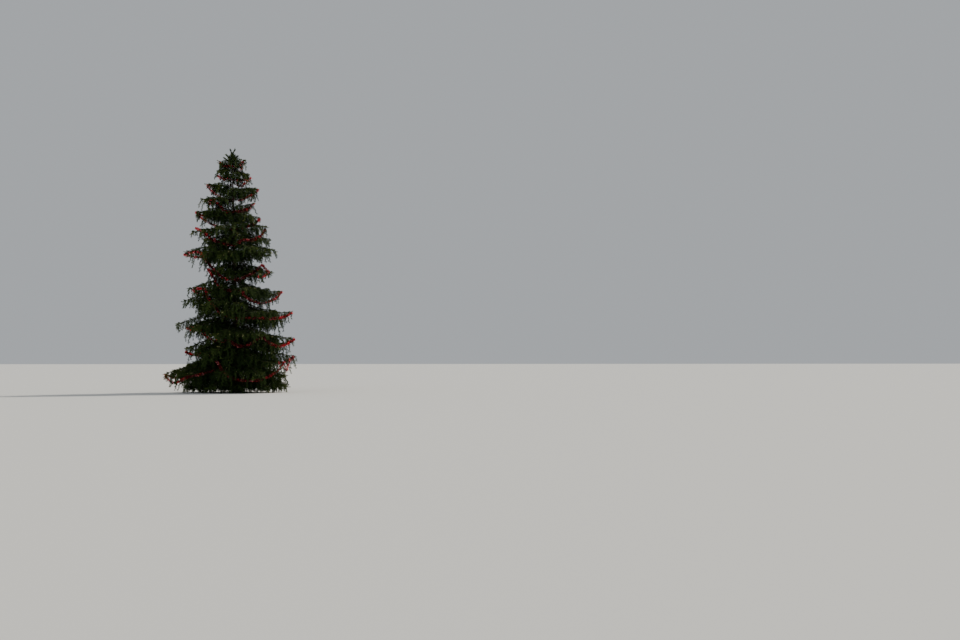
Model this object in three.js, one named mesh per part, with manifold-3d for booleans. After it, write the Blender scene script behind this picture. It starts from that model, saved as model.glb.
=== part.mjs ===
// A spruce about 12 m tall, with drooping tiers of boughs, as a scene graph of closed solids.
// Millimetres, +Z up. The origin is the middle of the flat cut under the trunk, at ground level.
// The crown is seen from the front along +Y, with +X on the right.

import * as THREE from "three";
import { mergeVertices } from "three/addons/utils/BufferGeometryUtils.js";
import Module from "manifold-3d";

const wasm = await Module();
wasm.setup();

// Trunk
const TREE_HEIGHT = 12000;
const TRUNK_TIP_HEIGHT = 11400;
const TRUNK_RADIUS = 162;
const TRUNK_TIP_RADIUS = 11;
const TRUNK_TAPER = 0.9;
const TRUNK_LEAN = 270; // how far the top stands to the left of the foot
const TRUNK_LEAN_CURVE = 1.1;
const TRUNK_SIDES = 13;
const TRUNK_RINGS = [0, 70, 160, 290, 500, 1000, 2600, 4600, 6600, 8600, 10200, TRUNK_TIP_HEIGHT];
const FLARE_OUT = 92; // how much the root flare adds to the radius at the ground
const FLARE_HEIGHT = 230;
const FLARE_LOBES = 5;
const FLARE_LOBE_SHARE = 0.13;

// Clearances between solids that touch on the real tree
const TOUCHING_GAP = 0.3;
const SPACE_ABOVE_TIER = 95; // the tier above keeps this far over a tier's own surface
const LOWEST_FOLIAGE = 25; // height that the skirt's tips keep over the ground

// Limbs
const LIMB_RADIUS_LEAST = 5;
const LIMB_RADIUS_SHARE = 0.0078; // of the reach
const LIMB_TIP_SHARE = 0.25; // of the radius at the root
const BOUGH_SHARE = 0.34; // of the reach, where a bough enters its mass of foliage
const BOUGH_SIDES = 6;
const BOUGH_STEPS = 3;
const JOINT_OVERRUN = 30; // both ends run this far past a bough's end before the cut between them

// Foliage
const SPRAY_THICKNESS = 0.014; // of a spray's length
const SPRAY_THICKNESS_LEAST = 9;
const HANG_LEAST = 350;
const HANG_SHARE = 0.13; // of the reach
const HANG_NEAR_TRUNK = 2.6; // factors on the hang near the trunk and at the bough's tip
const HANG_AT_TIP = 0.9;
const TOOTH_PITCH = 470;
const TEETH_LEAST = 2;
const TOOTH_ROOT_SHARE = 0.32; // depth of the notch between two teeth, as a share of the hang
const TOOTH_LEAST = 45;
const TOOTH_SHALLOWEST = 0.55; // depth of the first and last teeth, as a share of the hang
const UNDER_COMB_FROM = 0.2; // share of the reach where the comb under the stem begins
const SIDE_COMB_LEAN = 20; // degrees that the teeth of a side comb swing out from the vertical
const SIDE_COMB_HANG = 0.9; // of the hang under a stem
const SIDE_COMB_DROP = 0.09; // how far a side comb sinks below the tier's surface, per length
const SIDE_COMB_EDGE = 0.94; // share of the reach where a side comb ends at the latest
const EDGE_STEP = 20;
const SECTOR_MOST = 56; // degrees to either side of its stem that a mass may fill
const SECTOR_MARGIN = 3;
const BIG_REACH = 2400; // a longer mass has the third pair of side combs too
// Pairs of side combs: where on the stem they start, the angle they leave at in degrees, and their length
const SIDE_COMBS = [
  { from: 0.3, fan: 56, length: 0.66 },
  { from: 0.55, fan: 47, length: 0.46 },
  { from: 0.76, fan: 38, length: 0.25 },
];
const SEED = 20261;

// Azimuth of each side, in degrees from +X towards +Y
const SIDES = { right: 0, back: 90, left: 180, front: 270 };
const ALL_ROUND = ["right", "back", "left", "front"];
const SIDE_TWIST_SHARE = 0.3; // the right and left boughs turn less, so that the outline keeps its tips

// The tiers from the top down. Pairs are [right, left], as the two sides of the outline differ.
// root is the height where a bough leaves the trunk, tip the height of its end, reach its length from the
// trunk's axis, bow how far it arches as a share of the reach, and twist how far the whorl is turned.
const TIERS = [
  { root: [11070, 11020], tip: [11510, 11340], reach: [630, 640], bow: [-0.05, -0.05], twist: 4, sides: ["right", "back", "left"] },
  { root: [10830, 10900], tip: [10640, 10860], reach: [870, 800], bow: [0.1, 0.12], twist: -20, sides: ["right", "left", "front"] },
  { root: [9940, 10090], tip: [10030, 10190], reach: [1270, 1270], bow: [0.02, 0.02], twist: 20, sides: ["right", "back", "left"] },
  { root: [9080, 9450], tip: [9300, 9500], reach: [1040, 1640], bow: [0.02, 0.02], twist: -30, sides: ["right", "left", "front"] },
  { root: [8740, 8770], tip: [8590, 8810], reach: [1370, 1850], bow: [0.05, 0.05], twist: 30, sides: ALL_ROUND },
  { root: [8220, 8030], tip: [8150, 7860], reach: [1700, 2120], bow: [0.04, 0.04], twist: -18, sides: ALL_ROUND },
  { root: [7840, 7760], tip: [7480, 7460], reach: [1900, 1660], bow: [0.05, 0.05], twist: 12, sides: ["right", "back"] },
  { root: [7200, 7240], tip: [7000, 6800], reach: [2120, 2400], bow: [0.05, 0.06], twist: 26, sides: ALL_ROUND },
  { root: [6300, 6310], tip: [5860, 5990], reach: [1940, 1340], bow: [-0.01, 0.05], twist: -24, sides: ALL_ROUND },
  { root: [5620, 5600], tip: [4970, 5000], reach: [2330, 2300], bow: [-0.1, 0.05], twist: 20, sides: ALL_ROUND },
  { root: [4540, 5040], tip: [3920, 4440], reach: [2820, 2600], bow: [-0.09, 0.05], twist: -26, sides: ALL_ROUND },
  { root: [3350, 4000], tip: [2640, 3300], reach: [2930, 2910], bow: [-0.04, 0.04], twist: 28, sides: ALL_ROUND },
  { root: [2470, 2870], tip: [1730, 2110], reach: [2980, 2510], bow: [-0.02, 0.05], twist: -20, sides: ALL_ROUND },
  { root: [1560, 1790], tip: [860, 880], reach: [2520, 3510], bow: [0.05, 0.02], twist: 24, sides: ALL_ROUND, limbs: true },
  { root: [930, 930], tip: [240, 190], reach: [2470, 2590], bow: [0.1, 0.09], twist: -28, sides: ALL_ROUND },
];

// Leader: the last years' growth above the trunk's tip
const LEADER_RADIUS = 9;
const LEADER_SIDES = 5;
const LEADER_TWIN = { height: 11780, angle: 32, turn: 10, length: 255 };
const LEADER_WHORLS = [
  { height: 11480, shoots: 4, length: 400, angle: 46 },
  { height: 11700, shoots: 3, length: 230, angle: 38 },
];
const LEADER_TEETH = 2;

const BARK = new THREE.MeshStandardMaterial({ color: 0x4a3b2f, roughness: 0.95, metalness: 0 });
const NEEDLES = new THREE.MeshStandardMaterial({ color: 0x22371c, roughness: 0.75, metalness: 0 });

const UP = new THREE.Vector3(0, 0, 1);
const radians = THREE.MathUtils.degToRad;
const lerp = THREE.MathUtils.lerp;
const COS_30 = Math.cos(Math.PI / 6);

// A seeded stream of numbers from 0 to 1.
function randomStream(seed) {
  let state = seed >>> 0;
  return () => {
    state = (Math.imul(state, 1664525) + 1013904223) >>> 0;
    return state / 4294967296;
  };
}

// A three.js geometry as a solid with its faces pointing outwards.
function solid(geometry) {
  const bare = geometry.clone();
  bare.deleteAttribute("normal");
  bare.deleteAttribute("uv");
  const merged = mergeVertices(bare, 1e-3);
  const vertProperties = merged.attributes.position.array;
  const triVerts = new Uint32Array(merged.index.array);
  const made = new wasm.Manifold(new wasm.Mesh({ numProp: 3, vertProperties, triVerts }));
  if (made.volume() >= 0) return made;
  for (let i = 0; i < triVerts.length; i += 3) {
    [triVerts[i + 1], triVerts[i + 2]] = [triVerts[i + 2], triVerts[i + 1]];
  }
  return new wasm.Manifold(new wasm.Mesh({ numProp: 3, vertProperties, triVerts }));
}

// A named mesh made of a solid.
function meshOf(name, shape, material) {
  const made = shape.getMesh();
  const geometry = new THREE.BufferGeometry()
    .setAttribute("position", new THREE.BufferAttribute(new Float32Array(made.vertProperties), 3))
    .setIndex(new THREE.BufferAttribute(new Uint32Array(made.triVerts), 1));
  geometry.computeVertexNormals();
  const mesh = new THREE.Mesh(geometry, material);
  mesh.name = name;
  return mesh;
}

// The largest body of a solid, so that no loose scrap stays.
function largestBody(shape) {
  return shape.decompose().reduce((best, body) => (body.volume() > best.volume() ? body : best));
}

function trunkX(height) {
  return -TRUNK_LEAN * Math.pow(Math.max(height, 0) / TREE_HEIGHT, TRUNK_LEAN_CURVE);
}

function trunkRadius(height) {
  const share = 1 - height / TRUNK_TIP_HEIGHT;
  return TRUNK_TIP_RADIUS + (TRUNK_RADIUS - TRUNK_TIP_RADIUS) * Math.pow(Math.max(share, 0), TRUNK_TAPER);
}

// The trunk with its taper, lean and lobed root flare, grown by a margin all round.
function trunkSolid(margin) {
  const profile = [
    new THREE.Vector2(0, -margin),
    ...TRUNK_RINGS.map((height, i) => {
      const end = i === 0 ? -margin : i === TRUNK_RINGS.length - 1 ? margin : 0;
      return new THREE.Vector2(trunkRadius(height) + margin, height + end);
    }),
    new THREE.Vector2(0, TRUNK_TIP_HEIGHT + margin),
  ];
  const geometry = new THREE.LatheGeometry(profile, TRUNK_SIDES).rotateX(Math.PI / 2);
  const position = geometry.attributes.position;
  for (let i = 0; i < position.count; i++) {
    const [x, y, z] = [position.getX(i), position.getY(i), position.getZ(i)];
    const radius = Math.hypot(x, y);
    const fade = Math.exp(-Math.max(z, 0) / FLARE_HEIGHT);
    const lobe = 1 + FLARE_LOBE_SHARE * fade * Math.cos(FLARE_LOBES * Math.atan2(y, x));
    const grown = radius > 0 ? (radius + FLARE_OUT * fade) * lobe / radius : 0;
    position.setXY(i, x * grown + trunkX(z), y * grown);
  }
  return solid(geometry);
}

// A tapered limb: a cylinder laid along a curve.
function limbSolid(curve, rootRadius, tipRadius, sides, steps) {
  const geometry = new THREE.CylinderGeometry(1, 1, 1, sides, steps);
  const position = geometry.attributes.position;
  for (let i = 0; i < position.count; i++) {
    const share = THREE.MathUtils.clamp(position.getY(i) + 0.5, 0, 1);
    const along = curve.getTangent(share);
    const across = new THREE.Vector3().crossVectors(UP, along);
    if (across.length() < 0.2) across.set(1, 0, 0);
    across.normalize();
    const upward = new THREE.Vector3().crossVectors(along, across).normalize();
    const radius = lerp(rootRadius, tipRadius, share);
    const point = curve
      .getPoint(share)
      .addScaledVector(across, -position.getX(i) * radius)
      .addScaledVector(upward, position.getZ(i) * radius);
    position.setXYZ(i, point.x, point.y, point.z);
  }
  return solid(geometry);
}

// A flat blade: an outline in the plane of two directions, at a point, given a thickness.
function bladeSolid(outline, origin, along, upward, thickness) {
  const shape = new THREE.Shape(outline);
  const normal = new THREE.Vector3().crossVectors(along, upward).normalize();
  const geometry = new THREE.ExtrudeGeometry(shape, { depth: thickness, bevelEnabled: false, steps: 1 })
    .translate(0, 0, -thickness / 2)
    .applyMatrix4(new THREE.Matrix4().makeBasis(along, upward, normal).setPosition(origin));
  return solid(geometry);
}

// A tier's value at an azimuth, between its right and left figures.
function round(pair, azimuth) {
  return lerp(pair[1], pair[0], (1 + Math.cos(azimuth)) / 2);
}

// Height of a tier's surface at a distance from the trunk's axis and an azimuth.
function tierHeight(tier, distance, azimuth) {
  const reach = round(tier.reach, azimuth);
  const share = distance / reach;
  const root = round(tier.root, azimuth);
  const arch = round(tier.bow, azimuth) * reach * Math.sin(Math.PI * Math.min(share, 1));
  return root + (round(tier.tip, azimuth) - root) * share + arch;
}

// Radius of a limb of a given reach at a distance from the trunk's axis.
function limbRadius(reach, distance) {
  const root = LIMB_RADIUS_LEAST + reach * LIMB_RADIUS_SHARE;
  return lerp(root, root * LIMB_TIP_SHARE, distance / reach);
}

// A point on a tier's surface.
function tierPoint(tier, distance, azimuth) {
  const height = tierHeight(tier, distance, azimuth);
  return new THREE.Vector3(
    trunkX(round(tier.root, azimuth)) + distance * Math.cos(azimuth),
    distance * Math.sin(azimuth),
    height,
  );
}

// Distance from the trunk's axis and azimuth of a point, as the tier measures them.
function tierPlace(tier, point) {
  const x = point.x - trunkX(round(tier.root, Math.atan2(point.y, point.x)));
  return { distance: Math.hypot(x, point.y), azimuth: Math.atan2(point.y, x) };
}

// The lowest height that foliage of a tier may reach at a point: clear of the tier below and of the ground.
function floorAt(below, point) {
  if (!below) return LOWEST_FOLIAGE;
  const { distance, azimuth } = tierPlace(below, point);
  if (distance > round(below.reach, azimuth) + SPACE_ABOVE_TIER) return LOWEST_FOLIAGE;
  return tierHeight(below, distance, azimuth) + SPACE_ABOVE_TIER;
}

// The boughs of a tier, each with its azimuth and the share of a turn that it may fill to either side.
function boughsOf(tier) {
  const boughs = tier.sides.map((side) => {
    const share = side === "right" || side === "left" ? SIDE_TWIST_SHARE : 1;
    return { side, degrees: SIDES[side] + tier.twist * share };
  });
  const turn = (from, to) => (((to - from) % 360) + 360) % 360;
  return boughs.map((bough, i) => {
    const next = boughs[(i + 1) % boughs.length];
    const last = boughs[(i + boughs.length - 1) % boughs.length];
    const halves = [turn(last.degrees, bough.degrees) / 2, turn(bough.degrees, next.degrees) / 2];
    return {
      side: bough.side,
      azimuth: radians(bough.degrees),
      sector: halves.map((half) => radians(Math.min(half, SECTOR_MOST) - SECTOR_MARGIN)),
    };
  });
}

// A blade with three edges along it: two at its top, and one under them that carries the teeth.
// Each station has the two top points and the lower point.
function keeledBlade(stations) {
  const positions = stations.flatMap(({ left, right, keel }) => [...left, ...right, ...keel]);
  const index = [0, 1, 2];
  for (let i = 0; i < stations.length - 1; i++) {
    for (let k = 0; k < 3; k++) {
      const [a, b] = [3 * i + k, 3 * i + ((k + 1) % 3)];
      index.push(a, a + 3, b, b, a + 3, b + 3);
    }
  }
  const end = 3 * (stations.length - 1);
  index.push(end, end + 2, end + 1);
  const geometry = new THREE.BufferGeometry()
    .setAttribute("position", new THREE.BufferAttribute(new Float32Array(positions), 3))
    .setIndex(index);
  return solid(geometry);
}

// How deep sprays hang at a distance from the trunk's axis.
function hangAt(tier, distance, azimuth) {
  const reach = round(tier.reach, azimuth);
  return (HANG_LEAST + reach * HANG_SHARE) * lerp(HANG_NEAR_TRUNK, HANG_AT_TIP, distance / reach);
}

// Where the teeth of a comb stand: notches and tips in turn, each with its distance along and its depth.
// depthAt gives the depth wanted at a distance along, and roomAt the most that there is room for.
function toothLine(from, length, depthAt, roomAt, random) {
  const teeth = Math.max(TEETH_LEAST, Math.round((length - from) / TOOTH_PITCH));
  const pitch = (length - from) / teeth;
  const line = [];
  for (let j = 0; j < teeth; j++) {
    const at = from + pitch * (j + 0.62);
    const fullness = TOOTH_SHALLOWEST + (1 - TOOTH_SHALLOWEST) * Math.sin((Math.PI * (j + 0.9)) / (teeth + 0.6));
    const wanted = depthAt(at) * fullness * (0.76 + 0.24 * random());
    const depth = Math.max(Math.min(wanted, roomAt(at)), TOOTH_LEAST);
    if (j > 0) line.push({ at: from + pitch * j, depth: Math.max(depth * TOOTH_ROOT_SHARE, TOOTH_LEAST * 0.7) });
    line.push({ at, depth });
  }
  return line;
}

// How far a line can run from a point of a stem before it comes near the edge of the tier.
function roomToEdge(tier, azimuth, at, heading) {
  const start = tierPoint(tier, at, azimuth);
  const along = new THREE.Vector3(Math.cos(heading), Math.sin(heading), 0);
  let length = 0;
  for (;;) {
    const place = tierPlace(tier, start.clone().addScaledVector(along, length + EDGE_STEP));
    if (place.distance > SIDE_COMB_EDGE * round(tier.reach, place.azimuth)) return length;
    length += EDGE_STEP;
  }
}

// A station of a comb: its top points to either side of a point, and its lower point at a depth under it.
function station(point, across, upward, halfWidth, rise, depth) {
  const top = point.clone().addScaledVector(upward, rise);
  return {
    left: top.clone().addScaledVector(across, halfWidth),
    right: top.clone().addScaledVector(across, -halfWidth),
    keel: point.clone().addScaledVector(upward, -depth),
  };
}

// The stem of a mass with the comb of sprays that hangs under it.
function stemComb(tier, below, azimuth, from, random) {
  const reach = round(tier.reach, azimuth);
  const combFrom = Math.max(from, reach * UNDER_COMB_FROM);
  const across = new THREE.Vector3(-Math.sin(azimuth), Math.cos(azimuth), 0);
  const roomAt = (at) => {
    const point = tierPoint(tier, at, azimuth);
    return point.z - floorAt(below, point);
  };
  const depthAt = (at) => hangAt(tier, at, azimuth);
  const teeth = toothLine(combFrom, reach, depthAt, roomAt, random);
  const line = [{ at: from, depth: 0 }, { at: combFrom + 10, depth: 0 }, ...teeth, { at: reach, depth: 0 }];
  return keeledBlade(
    line.map(({ at, depth }) => {
      const radius = limbRadius(reach, at);
      const point = tierPoint(tier, at, azimuth);
      return station(point, across, UP, radius * COS_30, radius * 0.5, Math.max(depth, radius));
    }),
  );
}

// A comb of sprays that leaves a mass's stem sideways, its teeth swung out towards the bough's tip.
function sideComb(tier, below, azimuth, at, heading, length, random) {
  const along = new THREE.Vector3(Math.cos(heading), Math.sin(heading), 0);
  const outward = new THREE.Vector3(Math.cos(azimuth), Math.sin(azimuth), 0);
  const forward = outward.addScaledVector(along, -outward.dot(along)).normalize();
  const lean = radians(SIDE_COMB_LEAN);
  const upward = UP.clone().multiplyScalar(Math.cos(lean)).addScaledVector(forward, -Math.sin(lean));
  const across = new THREE.Vector3().crossVectors(along, upward).normalize();
  const start = tierPoint(tier, at, azimuth);
  const stemRadius = limbRadius(round(tier.reach, azimuth), at);
  const halfWidth = Math.max(SPRAY_THICKNESS_LEAST, length * SPRAY_THICKNESS) / 2;
  const pointAt = (distance) => {
    const point = start.clone().addScaledVector(along, distance);
    const place = tierPlace(tier, point);
    return point.setZ(tierHeight(tier, place.distance, place.azimuth) - SIDE_COMB_DROP * distance);
  };
  const depthAt = (distance) => {
    const place = tierPlace(tier, pointAt(distance));
    return SIDE_COMB_HANG * hangAt(tier, place.distance, place.azimuth);
  };
  const roomAt = (distance) => {
    const point = pointAt(distance);
    const lowest = point.clone().addScaledVector(upward, -depthAt(distance));
    return (point.z - Math.max(floorAt(below, point), floorAt(below, lowest))) / upward.z;
  };
  const root = station(start, across, upward, stemRadius * 0.3, stemRadius * 0.1, stemRadius * 0.4);
  const teeth = toothLine(0, length, depthAt, roomAt, random).map((tooth) => {
    const width = lerp(halfWidth, halfWidth * 0.5, tooth.at / length);
    return station(pointAt(tooth.at), across, upward, width, 0, tooth.depth);
  });
  const tip = station(pointAt(length), across, upward, halfWidth * 0.4, 0, TOOTH_LEAST * 0.4);
  return keeledBlade([root, ...teeth, tip]);
}

// A mass of foliage on one bough: its stem with the comb under it, and pairs of combs to either side.
function foliageMass(tier, below, bough, from, random) {
  const { azimuth, sector } = bough;
  const reach = round(tier.reach, azimuth);
  const pieces = [stemComb(tier, below, azimuth, Math.max(0, from - JOINT_OVERRUN), random)];
  for (const comb of SIDE_COMBS.slice(0, reach > BIG_REACH ? 3 : 2)) {
    for (const way of [1, -1]) {
      const at = Math.max(from, reach * (comb.from + (way > 0 ? 0 : 0.07) + 0.03 * random()));
      const fan = radians(comb.fan + 8 * (random() - 0.5));
      const half = sector[way > 0 ? 1 : 0];
      const room = fan > half ? (0.97 * at * Math.sin(half)) / Math.sin(fan - half) : reach;
      const length = Math.min(comb.length * reach, room, roomToEdge(tier, azimuth, at, azimuth + way * fan));
      pieces.push(sideComb(tier, below, azimuth, at, azimuth + way * fan, length, random));
    }
  }
  const mass = wasm.Manifold.union(pieces).subtract(TRUNK_SPACE);
  return largestBody(from ? beyond(mass, tier, azimuth, from + TOUCHING_GAP, 1) : mass);
}

// The part of a solid on one side of the upright plane across an azimuth at a distance from the trunk's axis.
function beyond(shape, tier, azimuth, distance, way) {
  const point = tierPoint(tier, distance, azimuth);
  const normal = new THREE.Vector3(Math.cos(azimuth), Math.sin(azimuth), 0).multiplyScalar(way);
  return shape.trimByPlane(normal.toArray(), normal.dot(point));
}

// A bare limb from the trunk to where it enters its mass of foliage.
function boughLimb(tier, bough) {
  const reach = round(tier.reach, bough.azimuth);
  const end = reach * BOUGH_SHARE;
  const line = [0, 0.5, 1].map((share) => tierPoint(tier, (end + JOINT_OVERRUN) * share, bough.azimuth));
  const curve = new THREE.CatmullRomCurve3(line);
  const limb = limbSolid(curve, limbRadius(reach, 0), limbRadius(reach, end), BOUGH_SIDES, BOUGH_STEPS);
  return largestBody(beyond(limb.subtract(TRUNK_SPACE), tier, bough.azimuth, end, -1));
}

// A lance-shaped shoot with teeth on both edges, from a point in a direction.
function toothedShoot(start, direction, length, teeth) {
  const along = direction.clone().normalize();
  const side = new THREE.Vector3().crossVectors(along, UP);
  if (side.length() < 0.1) side.set(1, 0, 0);
  side.normalize();
  const half = length * 0.17;
  const edge = (way) => {
    const points = [];
    for (let i = 0; i < teeth; i++) {
      const at = (length * i) / teeth;
      const width = half * (1 - (0.6 * i) / teeth);
      points.push(new THREE.Vector2(at, way * width * 0.25));
      points.push(new THREE.Vector2(at + (length * 0.6) / teeth, way * width));
    }
    return points;
  };
  const outline = [...edge(-1), new THREE.Vector2(length, 0), ...edge(1).reverse()];
  return bladeSolid(outline, start, along, side, SPRAY_THICKNESS_LEAST);
}

// The leader above the trunk's tip: its stem, a twin shoot beside it and whorls of short rising shoots.
function leaderMass() {
  const pointAt = (height) => new THREE.Vector3(trunkX(height), 0, height);
  const foot = TRUNK_TIP_HEIGHT + TOUCHING_GAP;
  const line = new THREE.LineCurve3(pointAt(foot), pointAt(TREE_HEIGHT - 40));
  const pieces = [limbSolid(line, LEADER_RADIUS, 3, LEADER_SIDES, 2)];
  pieces.push(toothedShoot(pointAt(TREE_HEIGHT - 330), UP, 330, LEADER_TEETH));
  const rising = (angle, turn) => {
    const [a, t] = [radians(angle), radians(turn)];
    return new THREE.Vector3(Math.sin(a) * Math.cos(t), Math.sin(a) * Math.sin(t), Math.cos(a));
  };
  const twin = LEADER_TWIN;
  pieces.push(toothedShoot(pointAt(twin.height), rising(twin.angle, twin.turn), twin.length, LEADER_TEETH));
  for (const whorl of LEADER_WHORLS) {
    for (let i = 0; i < whorl.shoots; i++) {
      const turn = (360 * (i + 0.5)) / whorl.shoots;
      const length = whorl.length * (i % 2 ? 0.8 : 1);
      pieces.push(toothedShoot(pointAt(whorl.height), rising(whorl.angle, turn), length, LEADER_TEETH));
    }
  }
  return largestBody(wasm.Manifold.union(pieces));
}

const TRUNK_SPACE = trunkSolid(TOUCHING_GAP);
const random = randomStream(SEED);
const tree = new THREE.Group();
tree.add(meshOf("trunk", trunkSolid(0), BARK));
tree.add(meshOf("foliage_leader", leaderMass(), NEEDLES));
TIERS.forEach((tier, i) => {
  const number = String(i + 1).padStart(2, "0");
  for (const bough of boughsOf(tier)) {
    const reach = round(tier.reach, bough.azimuth);
    const from = tier.limbs ? reach * BOUGH_SHARE : 0;
    if (tier.limbs) tree.add(meshOf(`bough_${number}_${bough.side}`, boughLimb(tier, bough), BARK));
    const mass = foliageMass(tier, TIERS[i + 1], bough, from, random);
    tree.add(meshOf(`foliage_${number}_${bough.side}`, mass, NEEDLES));
  }
});

export default tree;
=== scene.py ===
"""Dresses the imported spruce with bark, boughs, hanging sprays of needles and tinsel garlands.

Lengths are in metres. The origin is the middle of the flat cut under the trunk, +Z is up, and the crown is
seen from the front along +Y. Azimuths run from +X towards +Y.
"""

import logging
import math
from collections.abc import Iterable, Sequence
from dataclasses import dataclass, field
from enum import Enum

import bpy
import numpy as np
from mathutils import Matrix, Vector


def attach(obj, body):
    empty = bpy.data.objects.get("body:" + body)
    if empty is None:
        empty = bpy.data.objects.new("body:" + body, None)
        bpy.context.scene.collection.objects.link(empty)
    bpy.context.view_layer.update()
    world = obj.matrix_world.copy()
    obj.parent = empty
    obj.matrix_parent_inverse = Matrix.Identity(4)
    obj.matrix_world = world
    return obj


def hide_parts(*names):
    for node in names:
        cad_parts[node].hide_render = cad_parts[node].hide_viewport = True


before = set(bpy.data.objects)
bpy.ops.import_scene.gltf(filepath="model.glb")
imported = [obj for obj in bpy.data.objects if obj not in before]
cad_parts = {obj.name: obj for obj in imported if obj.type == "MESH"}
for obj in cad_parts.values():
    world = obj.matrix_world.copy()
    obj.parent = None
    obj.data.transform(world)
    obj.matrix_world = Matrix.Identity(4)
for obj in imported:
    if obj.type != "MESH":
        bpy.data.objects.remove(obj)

LOG = logging.getLogger("spruce")
BODY = "root"
UP = np.array([0.0, 0.0, 1.0])
GOLDEN_ANGLE = math.radians(137.5)
MOST_TRIANGLES = 190_000
NEEDLE_SEED = 5
Array = np.ndarray
Pair = tuple[float, float]
Value = Array | float
Mesh = tuple[Array, Array]
Shoot = tuple[Array, Array, float]


class Side(Enum):
    """Azimuth of each side of the crown, in degrees."""

    RIGHT = 0
    BACK = 90
    LEFT = 180
    FRONT = 270


class Tone(Enum):
    """Tones of green, from the crown's inside to its tips: the darker inner ones are painted shade and the
    paler outer ones painted highlight, in part the needles' own greens.
    """

    CORE = "core"
    SHADE = "shade"
    DEEP = "deep"
    LEAF = "leaf"
    OLIVE = "olive"
    TIP = "tip"
    # Pale needles on a few outer shoots: painted glints of backlit tips.
    FRESH = "fresh"


class Slot(Enum):
    """Material slots of the record."""

    BARK = "bark"
    FOLIAGE = "foliage"


def between_sides(pair: tuple[Value, Value], azimuth: Value) -> Value:
    """Value at an azimuth between a tier's figures for the right and the left."""
    right, left = pair
    return left + (right - left) * (1 + np.cos(azimuth)) / 2


def unit(vectors: Array) -> Array:
    """Vectors scaled to a length of one."""
    return vectors / np.maximum(np.linalg.norm(vectors, axis=-1, keepdims=True), 1e-9)


def crosswise(direction: Array, tangent: Array) -> tuple[Array, Array]:
    """A level unit vector across each direction, and one square to that and to the tangent."""
    across = unit(np.cross(direction, UP) + 1e-3)
    return across, np.cross(tangent, across)


def around(turn: Array, across: Array, second: Array) -> Array:
    """Unit vectors at angles round axes that have the two directions across them."""
    return np.cos(turn)[:, None] * across + np.sin(turn)[:, None] * second


# Form of the tree


@dataclass(frozen=True)
class TrunkForm:
    """Taper, lean and root flare of the trunk, which the solids were built from too.

    Attributes:
        tree_height: Height of the whole tree.
        tip_height: Height of the trunk's own tip.
        radius: Radius at the ground, without the root flare.
        tip_radius: Radius at the tip.
        taper: Power of the taper.
        lean: How far the top leans to the left.
        lean_curve: Power of the lean.
        flare_out: How far the root flare spreads at the ground.
        flare_height: Height over which it fades.
        flare_lobes: Number of its lobes.
        flare_lobe_share: How much further its lobes spread, as a share.
    """

    tree_height: float = 12.0
    tip_height: float = 11.4
    radius: float = 0.162
    tip_radius: float = 0.011
    taper: float = 0.9
    lean: float = 0.27
    lean_curve: float = 1.1
    flare_out: float = 0.092
    flare_height: float = 0.23
    flare_lobes: int = 5
    flare_lobe_share: float = 0.13

    def x(self, height: Value) -> Value:
        """Sideways place of the trunk's axis at a height."""
        return -self.lean * (np.maximum(height, 0) / self.tree_height) ** self.lean_curve

    def radius_at(self, height: Value) -> Value:
        """Radius of the trunk at a height, without the root flare."""
        share = np.maximum(1 - height / self.tip_height, 0)
        return self.tip_radius + (self.radius - self.tip_radius) * share**self.taper


@dataclass(frozen=True)
class Tier:
    """One whorl of boughs. Pairs are the figures on the right and on the left.

    Attributes:
        root: Height where a bough leaves the trunk.
        tip: Height of a bough's end.
        reach: Length of a bough from the trunk's axis.
        bow: How far a bough arches, as a share of its reach.
        tassel: Longest tassel.
        twist: How far the whorl is turned, in degrees.
        sides: The sides that have a main bough.
        hang_least: Depth of the sprays' hang under a tier of no reach.
        hang_growth: How much a metre of reach adds to it.
        hang_inside: Factor on it at the trunk.
        hang_loss: How much lower that factor is at the tips.
    """

    root: Pair
    tip: Pair
    reach: Pair
    bow: Pair
    tassel: Pair
    twist: float
    sides: tuple[Side, ...]
    hang_least: float = 0.35
    hang_growth: float = 0.13
    hang_inside: float = 2.6
    hang_loss: float = 1.7

    def reach_at(self, azimuth: Value) -> Value:
        """Reach of the tier at an azimuth."""
        return between_sides(self.reach, azimuth)

    def height(self, distance: Value, azimuth: Value) -> Value:
        """Height of the tier's surface.

        Args:
            distance: Distance from the trunk's axis.
            azimuth: Azimuth in radians.

        Returns:
            The height of the boughs' upper side there.
        """
        reach = self.reach_at(azimuth)
        share = distance / reach
        root = between_sides(self.root, azimuth)
        arch = between_sides(self.bow, azimuth) * reach * np.sin(np.pi * np.minimum(share, 1))
        return root + (between_sides(self.tip, azimuth) - root) * share + arch

    def hang(self, distance: Array, azimuth: Value) -> Array:
        """How deep sprays hang under the tier.

        Args:
            distance: Distance from the trunk's axis.
            azimuth: Azimuth in radians.

        Returns:
            The depth there.
        """
        reach = self.reach_at(azimuth)
        outward = np.minimum(distance / reach, 1)
        return (self.hang_least + self.hang_growth * reach) * (self.hang_inside - self.hang_loss * outward)


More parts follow.
